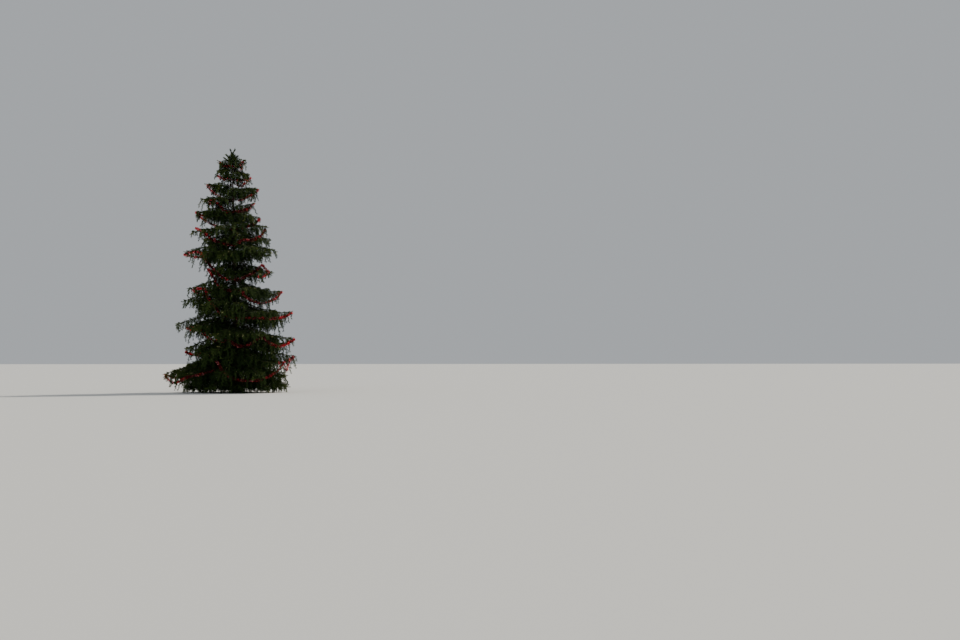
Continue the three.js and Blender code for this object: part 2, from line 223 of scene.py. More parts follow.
ALL_SIDES = (Side.RIGHT, Side.BACK, Side.LEFT, Side.FRONT)
BACK_THREE = (Side.RIGHT, Side.BACK, Side.LEFT)
FRONT_THREE = (Side.RIGHT, Side.LEFT, Side.FRONT)
RIGHT_AND_BACK = (Side.RIGHT, Side.BACK)
TRUNK = TrunkForm()
TIERS = (
    Tier((11.07, 11.02), (11.51, 11.34), (0.63, 0.64), (-0.05, -0.05), (0.50, 0.50), 4, BACK_THREE),
    Tier((10.83, 10.90), (10.64, 10.86), (0.87, 0.80), (0.10, 0.12), (0.50, 0.42), -20, FRONT_THREE),
    Tier((9.94, 10.09), (10.03, 10.19), (1.27, 1.27), (0.02, 0.02), (0.50, 0.50), 20, BACK_THREE),
    Tier((9.08, 9.45), (9.30, 9.50), (1.04, 1.64), (0.02, 0.02), (0.60, 0.48), -30, FRONT_THREE),
    Tier((8.74, 8.77), (8.59, 8.81), (1.37, 1.85), (0.05, 0.05), (0.52, 0.50), 30, ALL_SIDES),
    Tier((8.22, 8.03), (8.15, 7.86), (1.70, 2.12), (0.04, 0.04), (0.60, 0.52), -18, ALL_SIDES),
    Tier((7.84, 7.76), (7.48, 7.46), (1.90, 1.66), (0.05, 0.05), (0.60, 0.60), 12, RIGHT_AND_BACK),
    Tier((7.20, 7.24), (7.00, 6.80), (2.12, 2.40), (0.05, 0.06), (0.38, 0.60), 26, ALL_SIDES),
    Tier((6.30, 6.31), (5.86, 5.99), (1.94, 1.34), (0.02, 0.05), (0.42, 0.70), -24, ALL_SIDES),
    Tier((5.62, 5.60), (4.97, 5.00), (2.33, 2.30), (-0.10, 0.05), (0.80, 0.80), 20, ALL_SIDES),
    Tier((4.54, 5.04), (3.92, 4.44), (2.82, 2.60), (-0.09, 0.05), (0.80, 0.42), -26, ALL_SIDES),
    Tier((3.35, 4.00), (2.64, 3.30), (2.93, 2.91), (-0.04, 0.04), (0.75, 0.50), 28, ALL_SIDES),
    Tier((2.47, 2.87), (1.73, 2.11), (2.98, 2.51), (-0.02, 0.05), (0.80, 0.80), -20, ALL_SIDES),
    Tier((1.56, 1.79), (0.86, 0.88), (2.52, 3.51), (0.05, 0.02), (0.80, 0.80), 24, ALL_SIDES),
    Tier((0.93, 0.93), (0.24, 0.19), (2.47, 2.59), (0.10, 0.09), (0.80, 0.80), -28, ALL_SIDES),
)
# How far the crown reaches in front and behind, and the least sine of an azimuth that this is for
DEEPEST_FRONT = 2.68
DEEPEST_BACK = 2.8
LEAST_SINE = 0.2
# Height of the lowest limb, how much higher its tip is in front, and height of the lowest needle
LOWEST_LIMB = 0.12
RAISED_FRONT = 0.26
GROUND = 0.003
# Sine of the angle from upright below which a tube has no level direction across it
NEARLY_UPRIGHT = 0.1
# For the tiers up to each number, the shortest and longest infill boughs, as parts of the reach
INFILL_PARTS = ((3, (0.4, 0.84)), (9, (0.54, 0.82)), (len(TIERS), (0.62, 0.88)))
# Height, number of shoots, their length and their angle from upright in degrees
LEADER_WHORLS = (
    (10.95, 7, 0.56, 64),
    (11.08, 8, 0.54, 60),
    (11.20, 8, 0.48, 54),
    (11.31, 8, 0.42, 48),
    (11.40, 7, 0.35, 42),
    (11.48, 6, 0.29, 38),
    (11.56, 6, 0.23, 34),
    (11.63, 5, 0.18, 32),
    (11.70, 5, 0.14, 30),
)
# Height where each stem leaves the trunk, and the place of its tip
LEADER_STEMS = (
    (11.34, (-0.255, 0.00, 11.790)),
    (11.70, (-0.378, 0.02, 11.975)),
    (11.72, (-0.120, -0.02, 11.960)),
    (11.42, (-0.600, 0.03, 11.700)),
    (11.28, (-0.700, -0.04, 11.540)),
    (11.40, (0.020, -0.05, 11.640)),
)
# Tier, azimuth in degrees, part of the tier's reach and how far the root stands above the tier's
EXTRA_BOUGHS = (
    (0, 178, 1.0, -0.12), (0, 158, 1.04, -0.24), (0, 203, 1.04, -0.2), (13, 170, 0.72, 0.32),
    (13, 194, 0.7, 0.26), (13, 178, 0.9, 0.06), (13, 197, 0.86, -0.08), (13, 168, 0.84, -0.05),
    (14, 176, 1.0, 0.05), (14, 4, 1.0, 0.05), (14, 186, 0.95, 0.25), (1, 164, 0.92, 0.02),
    (1, 196, 0.86, -0.06), (1, 344, 0.9, 0.02), (1, 12, 0.86, -0.05), (2, 166, 0.92, 0.03),
    (2, 199, 0.86, -0.05), (2, 348, 0.92, 0.03), (2, 18, 0.84, -0.05), (3, 160, 0.9, 0.0),
    (3, 190, 0.84, -0.06), (4, 168, 0.92, 0.02), (4, 202, 0.86, -0.05), (8, 350, 0.72, 0.15),
    (8, 13, 0.76, 0.1), (13, 4, 1.0, -0.2), (13, 352, 0.94, -0.32), (14, 358, 1.06, 0.12),
)


@dataclass(frozen=True)
class Bough:
    """One bough of the crown, on its tier's surface or above it.

    Attributes:
        tier: Index of its tier.
        heading: Azimuth in radians.
        length: Length from the trunk's axis.
        lift: How far its root stands above the tier's.
        half_gap: Half the angle to its neighbours, in radians.
        sway: How far it bends sideways by its tip, in radians.
        least_radius: Radius at the root of a bough of no length.
        thickening: How much a metre of length adds to that.
        taper: Share of the radius that is gone at the tip.
        lift_loss: Share of its lift that is gone at the tip.
        smoothing: How softly it levels out over the lowest height for limbs, in square metres.
    """

    tier: int
    heading: float
    length: float
    lift: float
    half_gap: float
    sway: float
    least_radius: float = 0.005
    thickening: float = 0.0078
    taper: float = 0.75
    lift_loss: float = 0.45
    smoothing: float = 0.004

    @property
    def form(self) -> Tier:
        """The bough's tier."""
        return TIERS[self.tier]

    def root_height(self) -> float:
        """Height where the bough leaves the trunk's axis."""
        return float(between_sides(self.form.root, self.heading)) + self.lift

    def limb_radius(self, distance: Value) -> Value:
        """Radius of the limb at a distance from the trunk's axis."""
        root = self.least_radius + self.length * self.thickening
        return root * (1 - self.taper * distance / self.length)

    def point(self, distance: Array) -> Array:
        """Points of the bough's line.

        Args:
            distance: Distances from the trunk's axis.

        Returns:
            One point for each distance.
        """
        share = distance / self.length
        part = min(self.length / float(self.form.reach_at(self.heading)), 1.0)
        root = float(between_sides(self.form.root, self.heading))
        tip = float(between_sides(self.form.tip, self.heading))
        drop = (tip - root) * part - self.lift * self.lift_loss
        bow = float(between_sides(self.form.bow, self.heading))
        arch = bow * self.length * np.sin(np.pi * np.minimum(share, 1))
        lowest = LOWEST_LIMB + RAISED_FRONT * abs(math.sin(self.heading)) * np.minimum(share, 1)
        above = root + self.lift + drop * share + arch - lowest
        height = lowest + (above + np.sqrt(above**2 + self.smoothing)) / 2
        turn = self.heading + self.sway * share**2
        x = TRUNK.x(root) + distance * np.cos(turn)
        return np.stack([x, distance * np.sin(turn), height], axis=-1)


@dataclass(frozen=True)
class SideBranch:
    """A branch that leaves a bough sideways.

    Attributes:
        start: Where it starts.
        heading: Azimuth in radians.
        fall: How steeply it follows the bough down.
        droop: How far its tip sinks below that, as a share of its length.
        length: Its length.
        least_curve: Length that a shorter branch counts as, so that it doesn't curl.
    """

    start: Array
    heading: float
    fall: float
    droop: float
    length: float
    least_curve: float = 0.2

    def point(self, distance: Array) -> Array:
        """Points of the side branch.

        Args:
            distance: Their distances from its start.

        Returns:
            One point for each.
        """
        along = np.array([math.cos(self.heading), math.sin(self.heading), 0.0])
        height = self.fall * distance - self.droop * distance**2 / max(self.length, self.least_curve)
        points = self.start + distance[:, None] * along + height[:, None] * UP
        points[:, 2] = np.maximum(points[:, 2], LOWEST_LIMB)
        return points


@dataclass
class CrownForm:
    """Where the boughs of the crown stand, and the room that foliage has.

    Attributes:
        seed: Seed of the rule that sets the boughs out.
        side_twist: Share of a whorl's twist that its right and left boughs have.
        bough_spacing: Angle between the boughs of a whorl, in degrees.
        bough_jitter: How far a lesser bough is turned either way, in degrees.
        lesser_part: Shortest lesser bough, as a part of the reach.
        lesser_loss: How much shorter it may be in front and behind.
        lesser_drop: How far its root may be under the tier's, and how much further in front and behind.
        lesser_rise: How far it may be over the tier's, and how much further in front and behind.
        infill_spacing: Height between the levels of infill boughs.
        infill_floor: Height that the lowest tier's infill goes down to.
        infill_counts: Number of infill boughs on a level, of the slim tiers and of the others.
        slim_tiers: Number of slim tiers at the top.
        infill_turn: How far the infill of each tier is turned from the last, in degrees.
        infill_jitter: How far an infill bough is turned either way, as a share of its gap.
        infill_unevenness: How far it is raised or lowered, as a share of a level.
        infill_gain: How much longer it is in front and behind, as a part of the reach.
        tip_allowance: Room that the shoots at a bough's tip need.
        sway: How far a lesser bough bends sideways either way, in degrees.
        overlap: How far sprays may hang into the tier below.
        hold_out: How far outside a bough's tip it holds a garland, and how far above.
        hold_below: How far below a tip a garland hangs before it comes in.
        hold_losses: How much nearer it comes for a radian aside, a metre above and a metre below.
        random: Source of the small differences.
        boughs: The boughs.
        tips: Azimuth, length and tip's height of each bough.
    """

    seed: int = 20261
    side_twist: float = 0.3
    bough_spacing: float = 40.0
    bough_jitter: float = 8.0
    lesser_part: float = 0.86
    lesser_loss: float = 0.12
    lesser_drop: Pair = (0.1, 0.3)
    lesser_rise: Pair = (0.1, 0.16)
    infill_spacing: float = 0.36
    infill_floor: float = 0.15
    infill_counts: tuple[int, int] = (6, 7)
    slim_tiers: int = 5
    infill_turn: float = 25.0
    infill_jitter: float = 0.3
    infill_unevenness: float = 0.25
    infill_gain: float = 0.12
    tip_allowance: float = 0.1
    sway: float = 7.0
    overlap: float = 0.06
    hold_out: float = 0.1
    hold_below: float = 0.5
    hold_losses: tuple[float, float, float] = (0.85, 2.0, 0.8)
    random: np.random.Generator = field(init=False)
    boughs: list[Bough] = field(default_factory=list)
    tips: Array = field(init=False)

    def __post_init__(self) -> None:
        """Sets the boughs out by the seeded rule."""
        self.random = np.random.default_rng(self.seed)
        for number, tier in enumerate(TIERS):
            self._whorl(number, tier)
            self._infill(number, tier)
        for number, degrees, part, lift in EXTRA_BOUGHS:
            self._add(number, degrees, part, lift, self.bough_spacing)
        tips = [(b.heading, b.length, b.point(np.array([b.length]))[0, 2]) for b in self.boughs]
        self.tips = np.array(tips)

    def hold(self, height: float, azimuth: float) -> float:
        """Distance from the trunk's axis at which the boughs can hold a garland.

        Args:
            height: Height above the ground.
            azimuth: Azimuth in radians.

        Returns:
            The distance there: at the nearest bough's tip, and further in beside, above or far below it.
        """
        heading, length, tip = self.tips.T
        turn = np.abs((azimuth - heading + math.pi) % (2 * math.pi) - math.pi)
        above = np.maximum(height - tip - self.hold_out, 0)
        below = np.maximum(tip - self.hold_below - height, 0)
        beside_loss, above_loss, below_loss = self.hold_losses
        held = length * (1 - beside_loss * turn) + self.hold_out - above_loss * above - below_loss * below
        return float(np.max(held))

    def _whorl(self, number: int, tier: Tier) -> None:
        """Adds a tier's main boughs and the lesser ones between them.

        Args:
            number: Index of the tier.
            tier: The tier.
        """
        mains = []
        for side in tier.sides:
            share = self.side_twist if side in (Side.RIGHT, Side.LEFT) else 1
            mains.append(side.value + tier.twist * share)
        gaps = [(mains[(i + 1) % len(mains)] - a) % 360 for i, a in enumerate(mains)]
        drop, more_drop = self.lesser_drop
        rise, more_rise = self.lesser_rise
        jitter = self.bough_jitter
        for start, gap in zip(mains, gaps):
            count = max(1, round(gap / self.bough_spacing))
            self._add(number, start, 1.0, 0.0, gap / count)
            for j in range(1, count):
                degrees = start + gap * j / count + self.random.uniform(-jitter, jitter)
                free = abs(math.sin(math.radians(degrees)))
                part = self.random.uniform(self.lesser_part - self.lesser_loss * free, 1.0)
                lift = self.random.uniform(-drop - more_drop * free, rise + more_rise * free)
                self._add(number, degrees, part, lift, gap / count)

    def _infill(self, number: int, tier: Tier) -> None:
        """Adds shorter boughs between a tier and the next one down, which close the crown's middle.

        Args:
            number: Index of the tier.
            tier: The tier.
        """
        below = TIERS[number + 1] if number + 1 < len(TIERS) else None
        floor = sum(below.root) / 2 if below else self.infill_floor
        space = sum(tier.root) / 2 - floor
        levels = round(space / self.infill_spacing) - 1
        count = self.infill_counts[0 if number < self.slim_tiers else 1]
        shortest, longest = next(parts for end, parts in INFILL_PARTS if number < end)
        jitter, uneven = self.infill_jitter, self.infill_unevenness
        for level in range(levels):
            for j in range(count):
                place = j + 0.5 * (level % 2) + self.random.uniform(-jitter, jitter)
                degrees = 360 * place / count + self.infill_turn * number
                free = abs(math.sin(math.radians(degrees)))
                part = self.random.uniform(shortest, longest) + self.infill_gain * free
                depth = space * (level + 1 + self.random.uniform(-uneven, uneven)) / (levels + 1)
                self._add(number, degrees, part, -depth, 360 / count)

    def _add(self, number: int, degrees: float, part: float, lift: float, gap: float) -> None:
        """Adds one bough, no longer than the crown's room.

        Args:
            number: Index of its tier.
            degrees: Its azimuth.
            part: Its reach, as a part of the tier's reach there.
            lift: How far its root stands above the tier's.
            gap: Angle between boughs, in degrees.
        """
        heading = math.radians(degrees % 360)
        length = float(TIERS[number].reach_at(heading)) * part - self.tip_allowance
        out = max(abs(math.sin(heading)), LEAST_SINE)
        length = min(length, (DEEPEST_BACK if heading < math.pi else DEEPEST_FRONT) / out)
        sway = math.radians(self.random.uniform(-self.sway, self.sway)) if part < 1 else 0.0
        self.boughs.append(Bough(number, heading, length, lift, math.radians(gap / 2), sway))

    def floor(self, tier: int, points: Array) -> Array:
        """Lowest height that foliage of a tier may hang to.

        Args:
            tier: Index of the tier that the foliage belongs to.
            points: Points of the foliage.

        Returns:
            One height for each point: clear of the tier below and of the ground.
        """
        lowest = np.zeros(len(points))
        if tier + 1 >= len(TIERS):
            return lowest
        below = TIERS[tier + 1]
        azimuth = np.arctan2(points[:, 1], points[:, 0])
        x = points[:, 0] - TRUNK.x(between_sides(below.root, azimuth))
        azimuth = np.arctan2(points[:, 1], x)
        distance = np.hypot(x, points[:, 1])
        surface = below.height(distance, azimuth) - self.overlap
        return np.where(distance < below.reach_at(azimuth), np.maximum(surface, lowest), lowest)

    def edge(self, height: Value, azimuth: Value) -> Value:
        """Distance of the crown's outer edge from the trunk's axis.

        Args:
            height: Height above the ground.
            azimuth: Azimuth in radians.

        Returns:
            The distance at that height and azimuth.
        """
        tips = np.array([tier.tip for tier in TIERS[::-1]])
        reaches = np.array([tier.reach for tier in TIERS[::-1]])
        right, left = (np.interp(height, tips[:, k], reaches[:, k]) for k in (0, 1))
        out = np.sin(azimuth)
        deepest = np.where(out > 0, DEEPEST_BACK, DEEPEST_FRONT) / np.maximum(np.abs(out), LEAST_SINE)
        return np.minimum(between_sides((right, left), azimuth), deepest)

    def outerness(self, points: Array) -> Array:
        """How far out points are, from 0 at the trunk to 1 at the crown's edge.

        Args:
            points: The points.

        Returns:
            One share for each point.
        """
        x = points[:, 0] - TRUNK.x(points[:, 2])
        azimuth = np.arctan2(points[:, 1], x)
        return np.hypot(x, points[:, 1]) / self.edge(points[:, 2], azimuth)


# Meshes from arrays


def mesh_piece(name: str, vertices: Array, triangles: Array, smooth: bool = False) -> bpy.types.Object:
    """Makes an object of many small shapes from arrays.

    Args:
        name: Name of the object.
        vertices: Corners, one row each.
        triangles: Rows of three indices.
        smooth: Whether its faces are shaded smooth.

    Returns:
        The new object, at the origin.
    """
    mesh = bpy.data.meshes.new(name)
    mesh.vertices.add(len(vertices))
    mesh.vertices.foreach_set("co", vertices.astype(np.float32).ravel())
    mesh.loops.add(triangles.size)
    mesh.loops.foreach_set("vertex_index", triangles.astype(np.int32).ravel())
    mesh.polygons.add(len(triangles))
    mesh.polygons.foreach_set("loop_start", np.arange(0, triangles.size, 3, dtype=np.int32))
    mesh.polygons.foreach_set("use_smooth", np.full(len(triangles), smooth))
    mesh.update(calc_edges=True)
    piece = bpy.data.objects.new(name, mesh)
    bpy.context.scene.collection.objects.link(piece)
    return piece


@dataclass
class TubeBatch:
    """Many tapered limbs that are joined into one mesh.

    Attributes:
        vertices: Points of each limb.
        triangles: Triangles of each limb, by the numbers of their points in the whole.
        count: Number of points so far.
    """

    vertices: list[Array] = field(default_factory=list)
    triangles: list[Array] = field(default_factory=list)
    count: int = 0

    def add(self, line: Array, radii: Array, sides: int, rough: Array | None = None) -> None:
        """Adds a limb along a line, closed at its root and pointed at its tip.

        Args:
            line: Points along the limb.
            radii: Radius at each point but the last, where the limb ends in a point.
            sides: Number of sides.
            rough: Factors on the radius, one for each ring and side.
        """
        rings = len(line) - 1
        tangent = unit(np.gradient(line, axis=0))[:rings]
        across = np.cross(tangent, UP)
        upright = np.linalg.norm(across, axis=1, keepdims=True) < NEARLY_UPRIGHT
        across = unit(np.where(upright, [[1.0, 0.0, 0.0]], across))
        upward = np.cross(across, tangent)
        turns = np.linspace(0, 2 * math.pi, sides, endpoint=False)[None, :, None]
        ring = np.cos(turns) * across[:, None] + np.sin(turns) * upward[:, None]
        width = radii[:rings, None] * (rough if rough is not None else np.ones((rings, sides)))
        body = line[:rings, None] + ring * width[:, :, None]
        points = np.concatenate([body.reshape(-1, 3), line[-1:], line[:1]])
        tip, root = rings * sides, rings * sides + 1
        side = np.arange(sides)
        after = (side + 1) % sides
        faces = []
        for i in range(rings - 1):
            a, b = i * sides + side, i * sides + after
            c, d = a + sides, b + sides
            faces += [np.stack([a, d, b], 1), np.stack([a, c, d], 1)]
        last = (rings - 1) * sides
        faces.append(np.stack([last + after, last + side, np.full(sides, tip)], 1))
        faces.append(np.stack([side, after, np.full(sides, root)], 1))
        self.vertices.append(points)
        self.triangles.append(np.concatenate(faces) + self.count)
        self.count += len(points)

    def piece(self, name: str, smooth: bool) -> bpy.types.Object:
        """Makes the joined object."""
        return mesh_piece(name, np.concatenate(self.vertices), np.concatenate(self.triangles), smooth)


# Foliage


class TwigKind(Enum):
    """Kinds of twig in the book."""

    TASSEL = 0
    SHOOT = 1
    LIMB = 2


@dataclass
class SprayBook:
    """Every twig of the crown that bears needles, kept as arrays.

    A twig starts at a point in a direction and curls up or down along its length.

    Attributes:
        start: Where each twig starts.
        direction: Unit vector that it starts along.
        length: Its length.
        curl: From -1, curling up, to 1, curling down.
        kind: What kind of twig it is.
        place: 0 inside the crown to 1 at its edge, which deals out the tones.
        rows: What was added, from which settle() makes the arrays.
    """

    start: Array = field(init=False)
    direction: Array = field(init=False)
    length: Array = field(init=False)
    curl: Array = field(init=False)
    kind: Array = field(init=False)
    place: Array = field(init=False)
    rows: list[tuple] = field(default_factory=list)

    def add(
        self, start: Array, direction: Array, length: Array, curl: Array, kind: TwigKind, place: Array
    ) -> None:
        """Adds twigs, which are in the arrays after settle()."""
        self.rows.append((start, direction, length, curl, np.full(len(start), kind.value), place))

    def settle(self) -> None:
        """Makes the arrays of all the twigs so far."""
        columns = (np.concatenate(column) for column in zip(*self.rows))
        self.start, self.direction, self.length, self.curl, self.kind, self.place = columns

    def axis(self, index: Array, share: Array) -> tuple[Array, Array]:
        """Points and directions along twigs.

        Args:
            index: Which twig each point is on.
            share: How far along it the point is, from 0 to 1.

        Returns:
            The points, and the unit directions of the twig there.
        """
        curl = self.curl[index][:, None]
        pull = np.abs(curl)
        fall = -np.sign(curl) * UP
        u = share[:, None]
        direction = self.direction[index]
        bent = direction * (u - 0.5 * pull * u**2) + fall * (0.5 * pull * u**2)
        point = self.start[index] + self.length[index][:, None] * bent
        return point, unit(direction * (1 - pull * u) + fall * pull * u)


@dataclass(frozen=True)
class NeedleForm:
    """Shape and number of the needles on a twig.

    Attributes:
        length: Length of a needle.
        base: Width at its foot.
        per_metre: Number on a metre of an outer twig.
        inner_share: Number on an inner twig, as a share of that.
        inner_size: Size of an inner twig's needles, as a share of an outer one's.
        sweep: Angle between a needle and its twig.
        least: Fewest needles on a twig.
        tip_shrink: How much shorter the needles at a twig's end are, as a share.
        inner_place: How far out in the crown the twigs begin to count as outer ones.
        outer_gain: How fast they do.
        turn_noise: Unevenness of the needles' turn round the twig.
        sweep_noise: Unevenness of their sweep.
        length_range: Shortest and longest needle, as shares of the length.
    """

    length: float = 0.062
    base: float = 0.02
    per_metre: float = 126.0
    inner_share: float = 0.34
    inner_size: float = 1.36
    sweep: float = math.radians(50)
    least: int = 5
    tip_shrink: float = 0.4
    inner_place: float = 0.2
    outer_gain: float = 1.4
    turn_noise: float = 0.25
    sweep_noise: float = 0.12
    length_range: Pair = (0.8, 1.12)

    def outer(self, place: Array) -> Array:
        """How much a twig counts as an outer one, from 0 to 1, by its place in the crown."""
        return np.clip(self.outer_gain * (place - self.inner_place), 0, 1)

    def mesh(self, book: SprayBook, chosen: Array, random: np.random.Generator) -> Mesh:
        """Needles of some twigs, each a long triangle on the twig's axis.

        Args:
            book: The twigs.
            chosen: Indices of the twigs that get needles.
            random: Source of the small differences.

        Returns:
            The corners and the triangles.
        """
        outer = self.outer(book.place[chosen])
        thin = self.inner_share + (1 - self.inner_share) * outer
        counts = np.maximum(self.least, np.round(book.length[chosen] * self.per_metre * thin)).astype(int)
        index = np.repeat(np.arange(len(chosen)), counts)
        first = np.cumsum(counts) - counts
        order = np.arange(len(index)) - first[index]
        share = (order + 0.5) / counts[index]
        point, tangent = book.axis(chosen[index], share)
        across, second = crosswise(book.direction[chosen[index]], tangent)
        turn = random.uniform(0, 2 * math.pi, len(chosen))[index] + order * GOLDEN_ANGLE
        turn = turn + random.normal(0, self.turn_noise, len(index))
        sweep = self.sweep + random.normal(0, self.sweep_noise, len(index))
        way = around(sweep, tangent, around(turn, across, second))
        size = (self.inner_size + (1 - self.inner_size) * outer)[index]
        length = self.length * size * (1 - self.tip_shrink * share**3)
        length = length * random.uniform(*self.length_range, len(index))
        half = (self.base / 2 * size)[:, None] * tangent
        corners = np.stack([point - half, point + half, point + way * length[:, None]], axis=1)
        corners[..., 2] = np.maximum(corners[..., 2], GROUND)
        return corners.reshape(-1, 3), np.arange(3 * len(index)).reshape(-1, 3)


@dataclass(frozen=True)
class LimbForm:
    """Figures of the boughs, and of the side branches that grow from them.

    Attributes:
        ring_spacing: Distance between the rings of a bough.
        stout_length: Length from which a bough has more sides.
        rough: Smallest and largest factor of the bough's uneven radius.
        bare_part: Part of a bough by the trunk that has no side branches.
        bare_gap: Distance of the first of them from the bark, and of their first tassels from their root.
        branched_part: Part of a bough at which they end.
        fan: Angle between a bough and its first side branches, in degrees.
        fan_loss: How much less that is at its tip.
        fan_noise: Unevenness of that angle either way.
        widest_gap: Largest half gap between boughs that a branch fills, in radians.
        gap_share: How far into the gap it may reach, as a share.
        gap_extra: How much further than that it may reach aside.
        share_left: Longest branch, as a share of the rest of the bough.
        extra: How much longer than that it may be.
        length_range: Shortest and longest branch, as shares of its room.
        droop: How far the top tier's branches droop.
        more_droop: How much more the lowest tier's do.
        branch_rings: Distance between the rings of a branch.
        root_share: Radius at its root, as a share of the bough's there.
        tip_radius: Radius at its tip.
    """

    ring_spacing: float = 0.16
    stout_length: float = 1.6
    rough: Pair = (0.9, 1.12)
    bare_part: float = 0.1
    bare_gap: float = 0.05
    branched_part: float = 0.97
    fan: float = 60.0
    fan_loss: float = 22.0
    fan_noise: float = 7.0
    widest_gap: float = 0.9
    gap_share: float = 1.2
    gap_extra: float = 0.14
    share_left: float = 0.66
    extra: float = 0.16
    length_range: Pair = (0.75, 1.08)
    droop: float = 0.08
    more_droop: float = 0.16
    branch_rings: float = 0.3
    root_share: float = 0.5
    tip_radius: float = 0.002


@dataclass(frozen=True)
class TasselForm:
    """Figures of the hanging tassels, and of the shoots on them and on the limbs.

    Attributes:
        forward: How far a tassel starts forward along its limb.
        aside_noise: Unevenness of its start to the sides.
        down: Least and most that it starts downwards.
        curl: Least and most that it curls down.
        room_share: Share of its length at which its room is measured.
        clearance: Room that it leaves at its end.
        shortest: Length below which it is left out.
        skirt_tiers: Number of tiers whose tassels reach for the ground.
        skirt_touch: How far those may go past their room.
        skirt_uneven: How far the shortest of them end above it.
        place_noise: Unevenness of its place when the tones are dealt.
        top_forward: How far a shoot on a limb's upper side starts forward.
        top_aside: Least and most that it turns aside.
        top_rise: Least and most that it rises.
        top_curl: Least and most that it curls.
        top_gain: How much further out it counts than its start, so that it gets a lighter tone: painted top
            light.
        top_noise: Unevenness of that.
        clad_part: Part of a limb at which its own needles begin.
        clad_spacing: Length of a stretch of them.
        clad_noise: Unevenness of a stretch's place.
        spread: Smallest and largest angle between a tassel and its shoots, in degrees.
        turn_step: Turn of the first shoot from one tassel to the next.
        shoot_taper: How much shorter the shoots at a tassel's end are, as a share.
        shoot_range: Shortest and longest shoot, as shares of their length.
        shoot_curl: Least and most that a shoot curls down.
        shoot_gain: How much further out it counts than its tassel, and how much more on the upper side,
            where the lighter tone is painted top light.
        shoot_noise: Unevenness of that.
    """

    forward: float = 0.34
    aside_noise: float = 0.3
    down: Pair = (0.3, 0.9)
    curl: Pair = (0.55, 0.95)
    room_share: float = 0.6
    clearance: float = 0.02
    shortest: float = 0.1
    skirt_tiers: int = 2
    skirt_touch: float = 0.06
    skirt_uneven: float = 0.28
    place_noise: float = 0.1
    top_forward: float = 0.85
    top_aside: Pair = (0.3, 1.0)
    top_rise: Pair = (-0.1, 0.55)
    top_curl: Pair = (-0.1, 0.35)
    top_gain: float = 0.08
    top_noise: float = 0.12
    clad_part: float = 0.3
    clad_spacing: float = 0.2
    clad_noise: float = 0.08
    spread: Pair = (38.0, 62.0)
    turn_step: float = 1.7
    shoot_taper: float = 0.5
    shoot_range: Pair = (0.65, 1.1)
    shoot_curl: Pair = (0.2, 0.6)
    shoot_gain: Pair = (0.05, 0.1)
    shoot_noise: float = 0.07


@dataclass(frozen=True)
class TipForm:
    """Figures of the shoots at a bough's tip.

    Attributes:
        part: Part of the bough at which they start.
        turns: Angle between each and the bough, in degrees.
        turn_noise: Unevenness of those angles.
        rise: Least and most that one rises.
        length: Shortest and longest one.
        curl: How far they curl, where less than 0 is up.
        places: How far out they count on a bough near its tier, and on a lower one; the first gives the
            pale tip tone as painted highlight, the second darker tones as painted shade under the tier.
        lower: How far under its tier a lower one leaves the trunk.
    """

    part: float = 0.94
    turns: tuple[float, ...] = (-40.0, -18.0, 3.0, 21.0, 42.0)
    turn_noise: float = 0.08
    rise: Pair = (-0.2, 0.2)
    length: Pair = (0.1, 0.17)
    curl: float = -0.3
    places: Pair = (1.05, 0.8)
    lower: float = 0.3


@dataclass(frozen=True)
class LeaderForm:
    """Figures of the leader's stems and shoots.

    Attributes:
        depth: How far under its fork a stem's line starts.
        radii: Radii along a stem.
        coats: Where each coat of needles starts on a stem, as a share of it.
        coat_noise: Unevenness of a coat's direction.
        coat_end: Where the coats end.
        twig_parts: Parts of a stem between which it has side twigs.
        twig_spacing: Distance between them.
        twig_aside: How far they turn aside.
        twig_flatness: Share of that which they may turn up or down.
        twig_length: Shortest and longest one.
        whorl_step: Turn of a whorl's first shoot for a metre of height, in shoots.
        whorl_jitter: How far a shoot is turned either way, in radians.
        tilt_jitter: How far it is tilted either way, in degrees.
        length_range: Shortest and longest shoot, as shares of the whorl's.
        branch_spacing: Length of shoot for each of its side shoots.
        branch_aside: How far a side shoot turns aside.
        branch_noise: Unevenness of its direction.
        branch_places: Where the first one starts and how far on the next does, as shares of the shoot.
        branch_length: Length of one, as a share of the shoot's.
        place: How far out in the crown the shoots count, and the unevenness of that.
        curl: How far they curl, where less than 0 is up.
    """

    depth: float = 0.2
    radii: tuple[float, ...] = (0.014, 0.011, 0.007, 0.004)
    coats: tuple[float, ...] = (0.0, 0.0, 0.25, 0.5, 0.7)
    coat_noise: float = 0.04
    coat_end: float = 1.02
    twig_parts: Pair = (0.1, 0.86)
    twig_spacing: float = 0.05
    twig_aside: float = 0.6
    twig_flatness: float = 0.3
    twig_length: Pair = (0.05, 0.1)
    whorl_step: float = 7.0
    whorl_jitter: float = 0.2
    tilt_jitter: float = 6.0
    length_range: Pair = (0.8, 1.0)
    branch_spacing: float = 0.11
    branch_aside: float = 0.8
    branch_noise: float = 0.15
    branch_places: Pair = (0.3, 0.17)
    branch_length: float = 0.36
    place: Pair = (0.74, 0.16)
    curl: float = -0.15


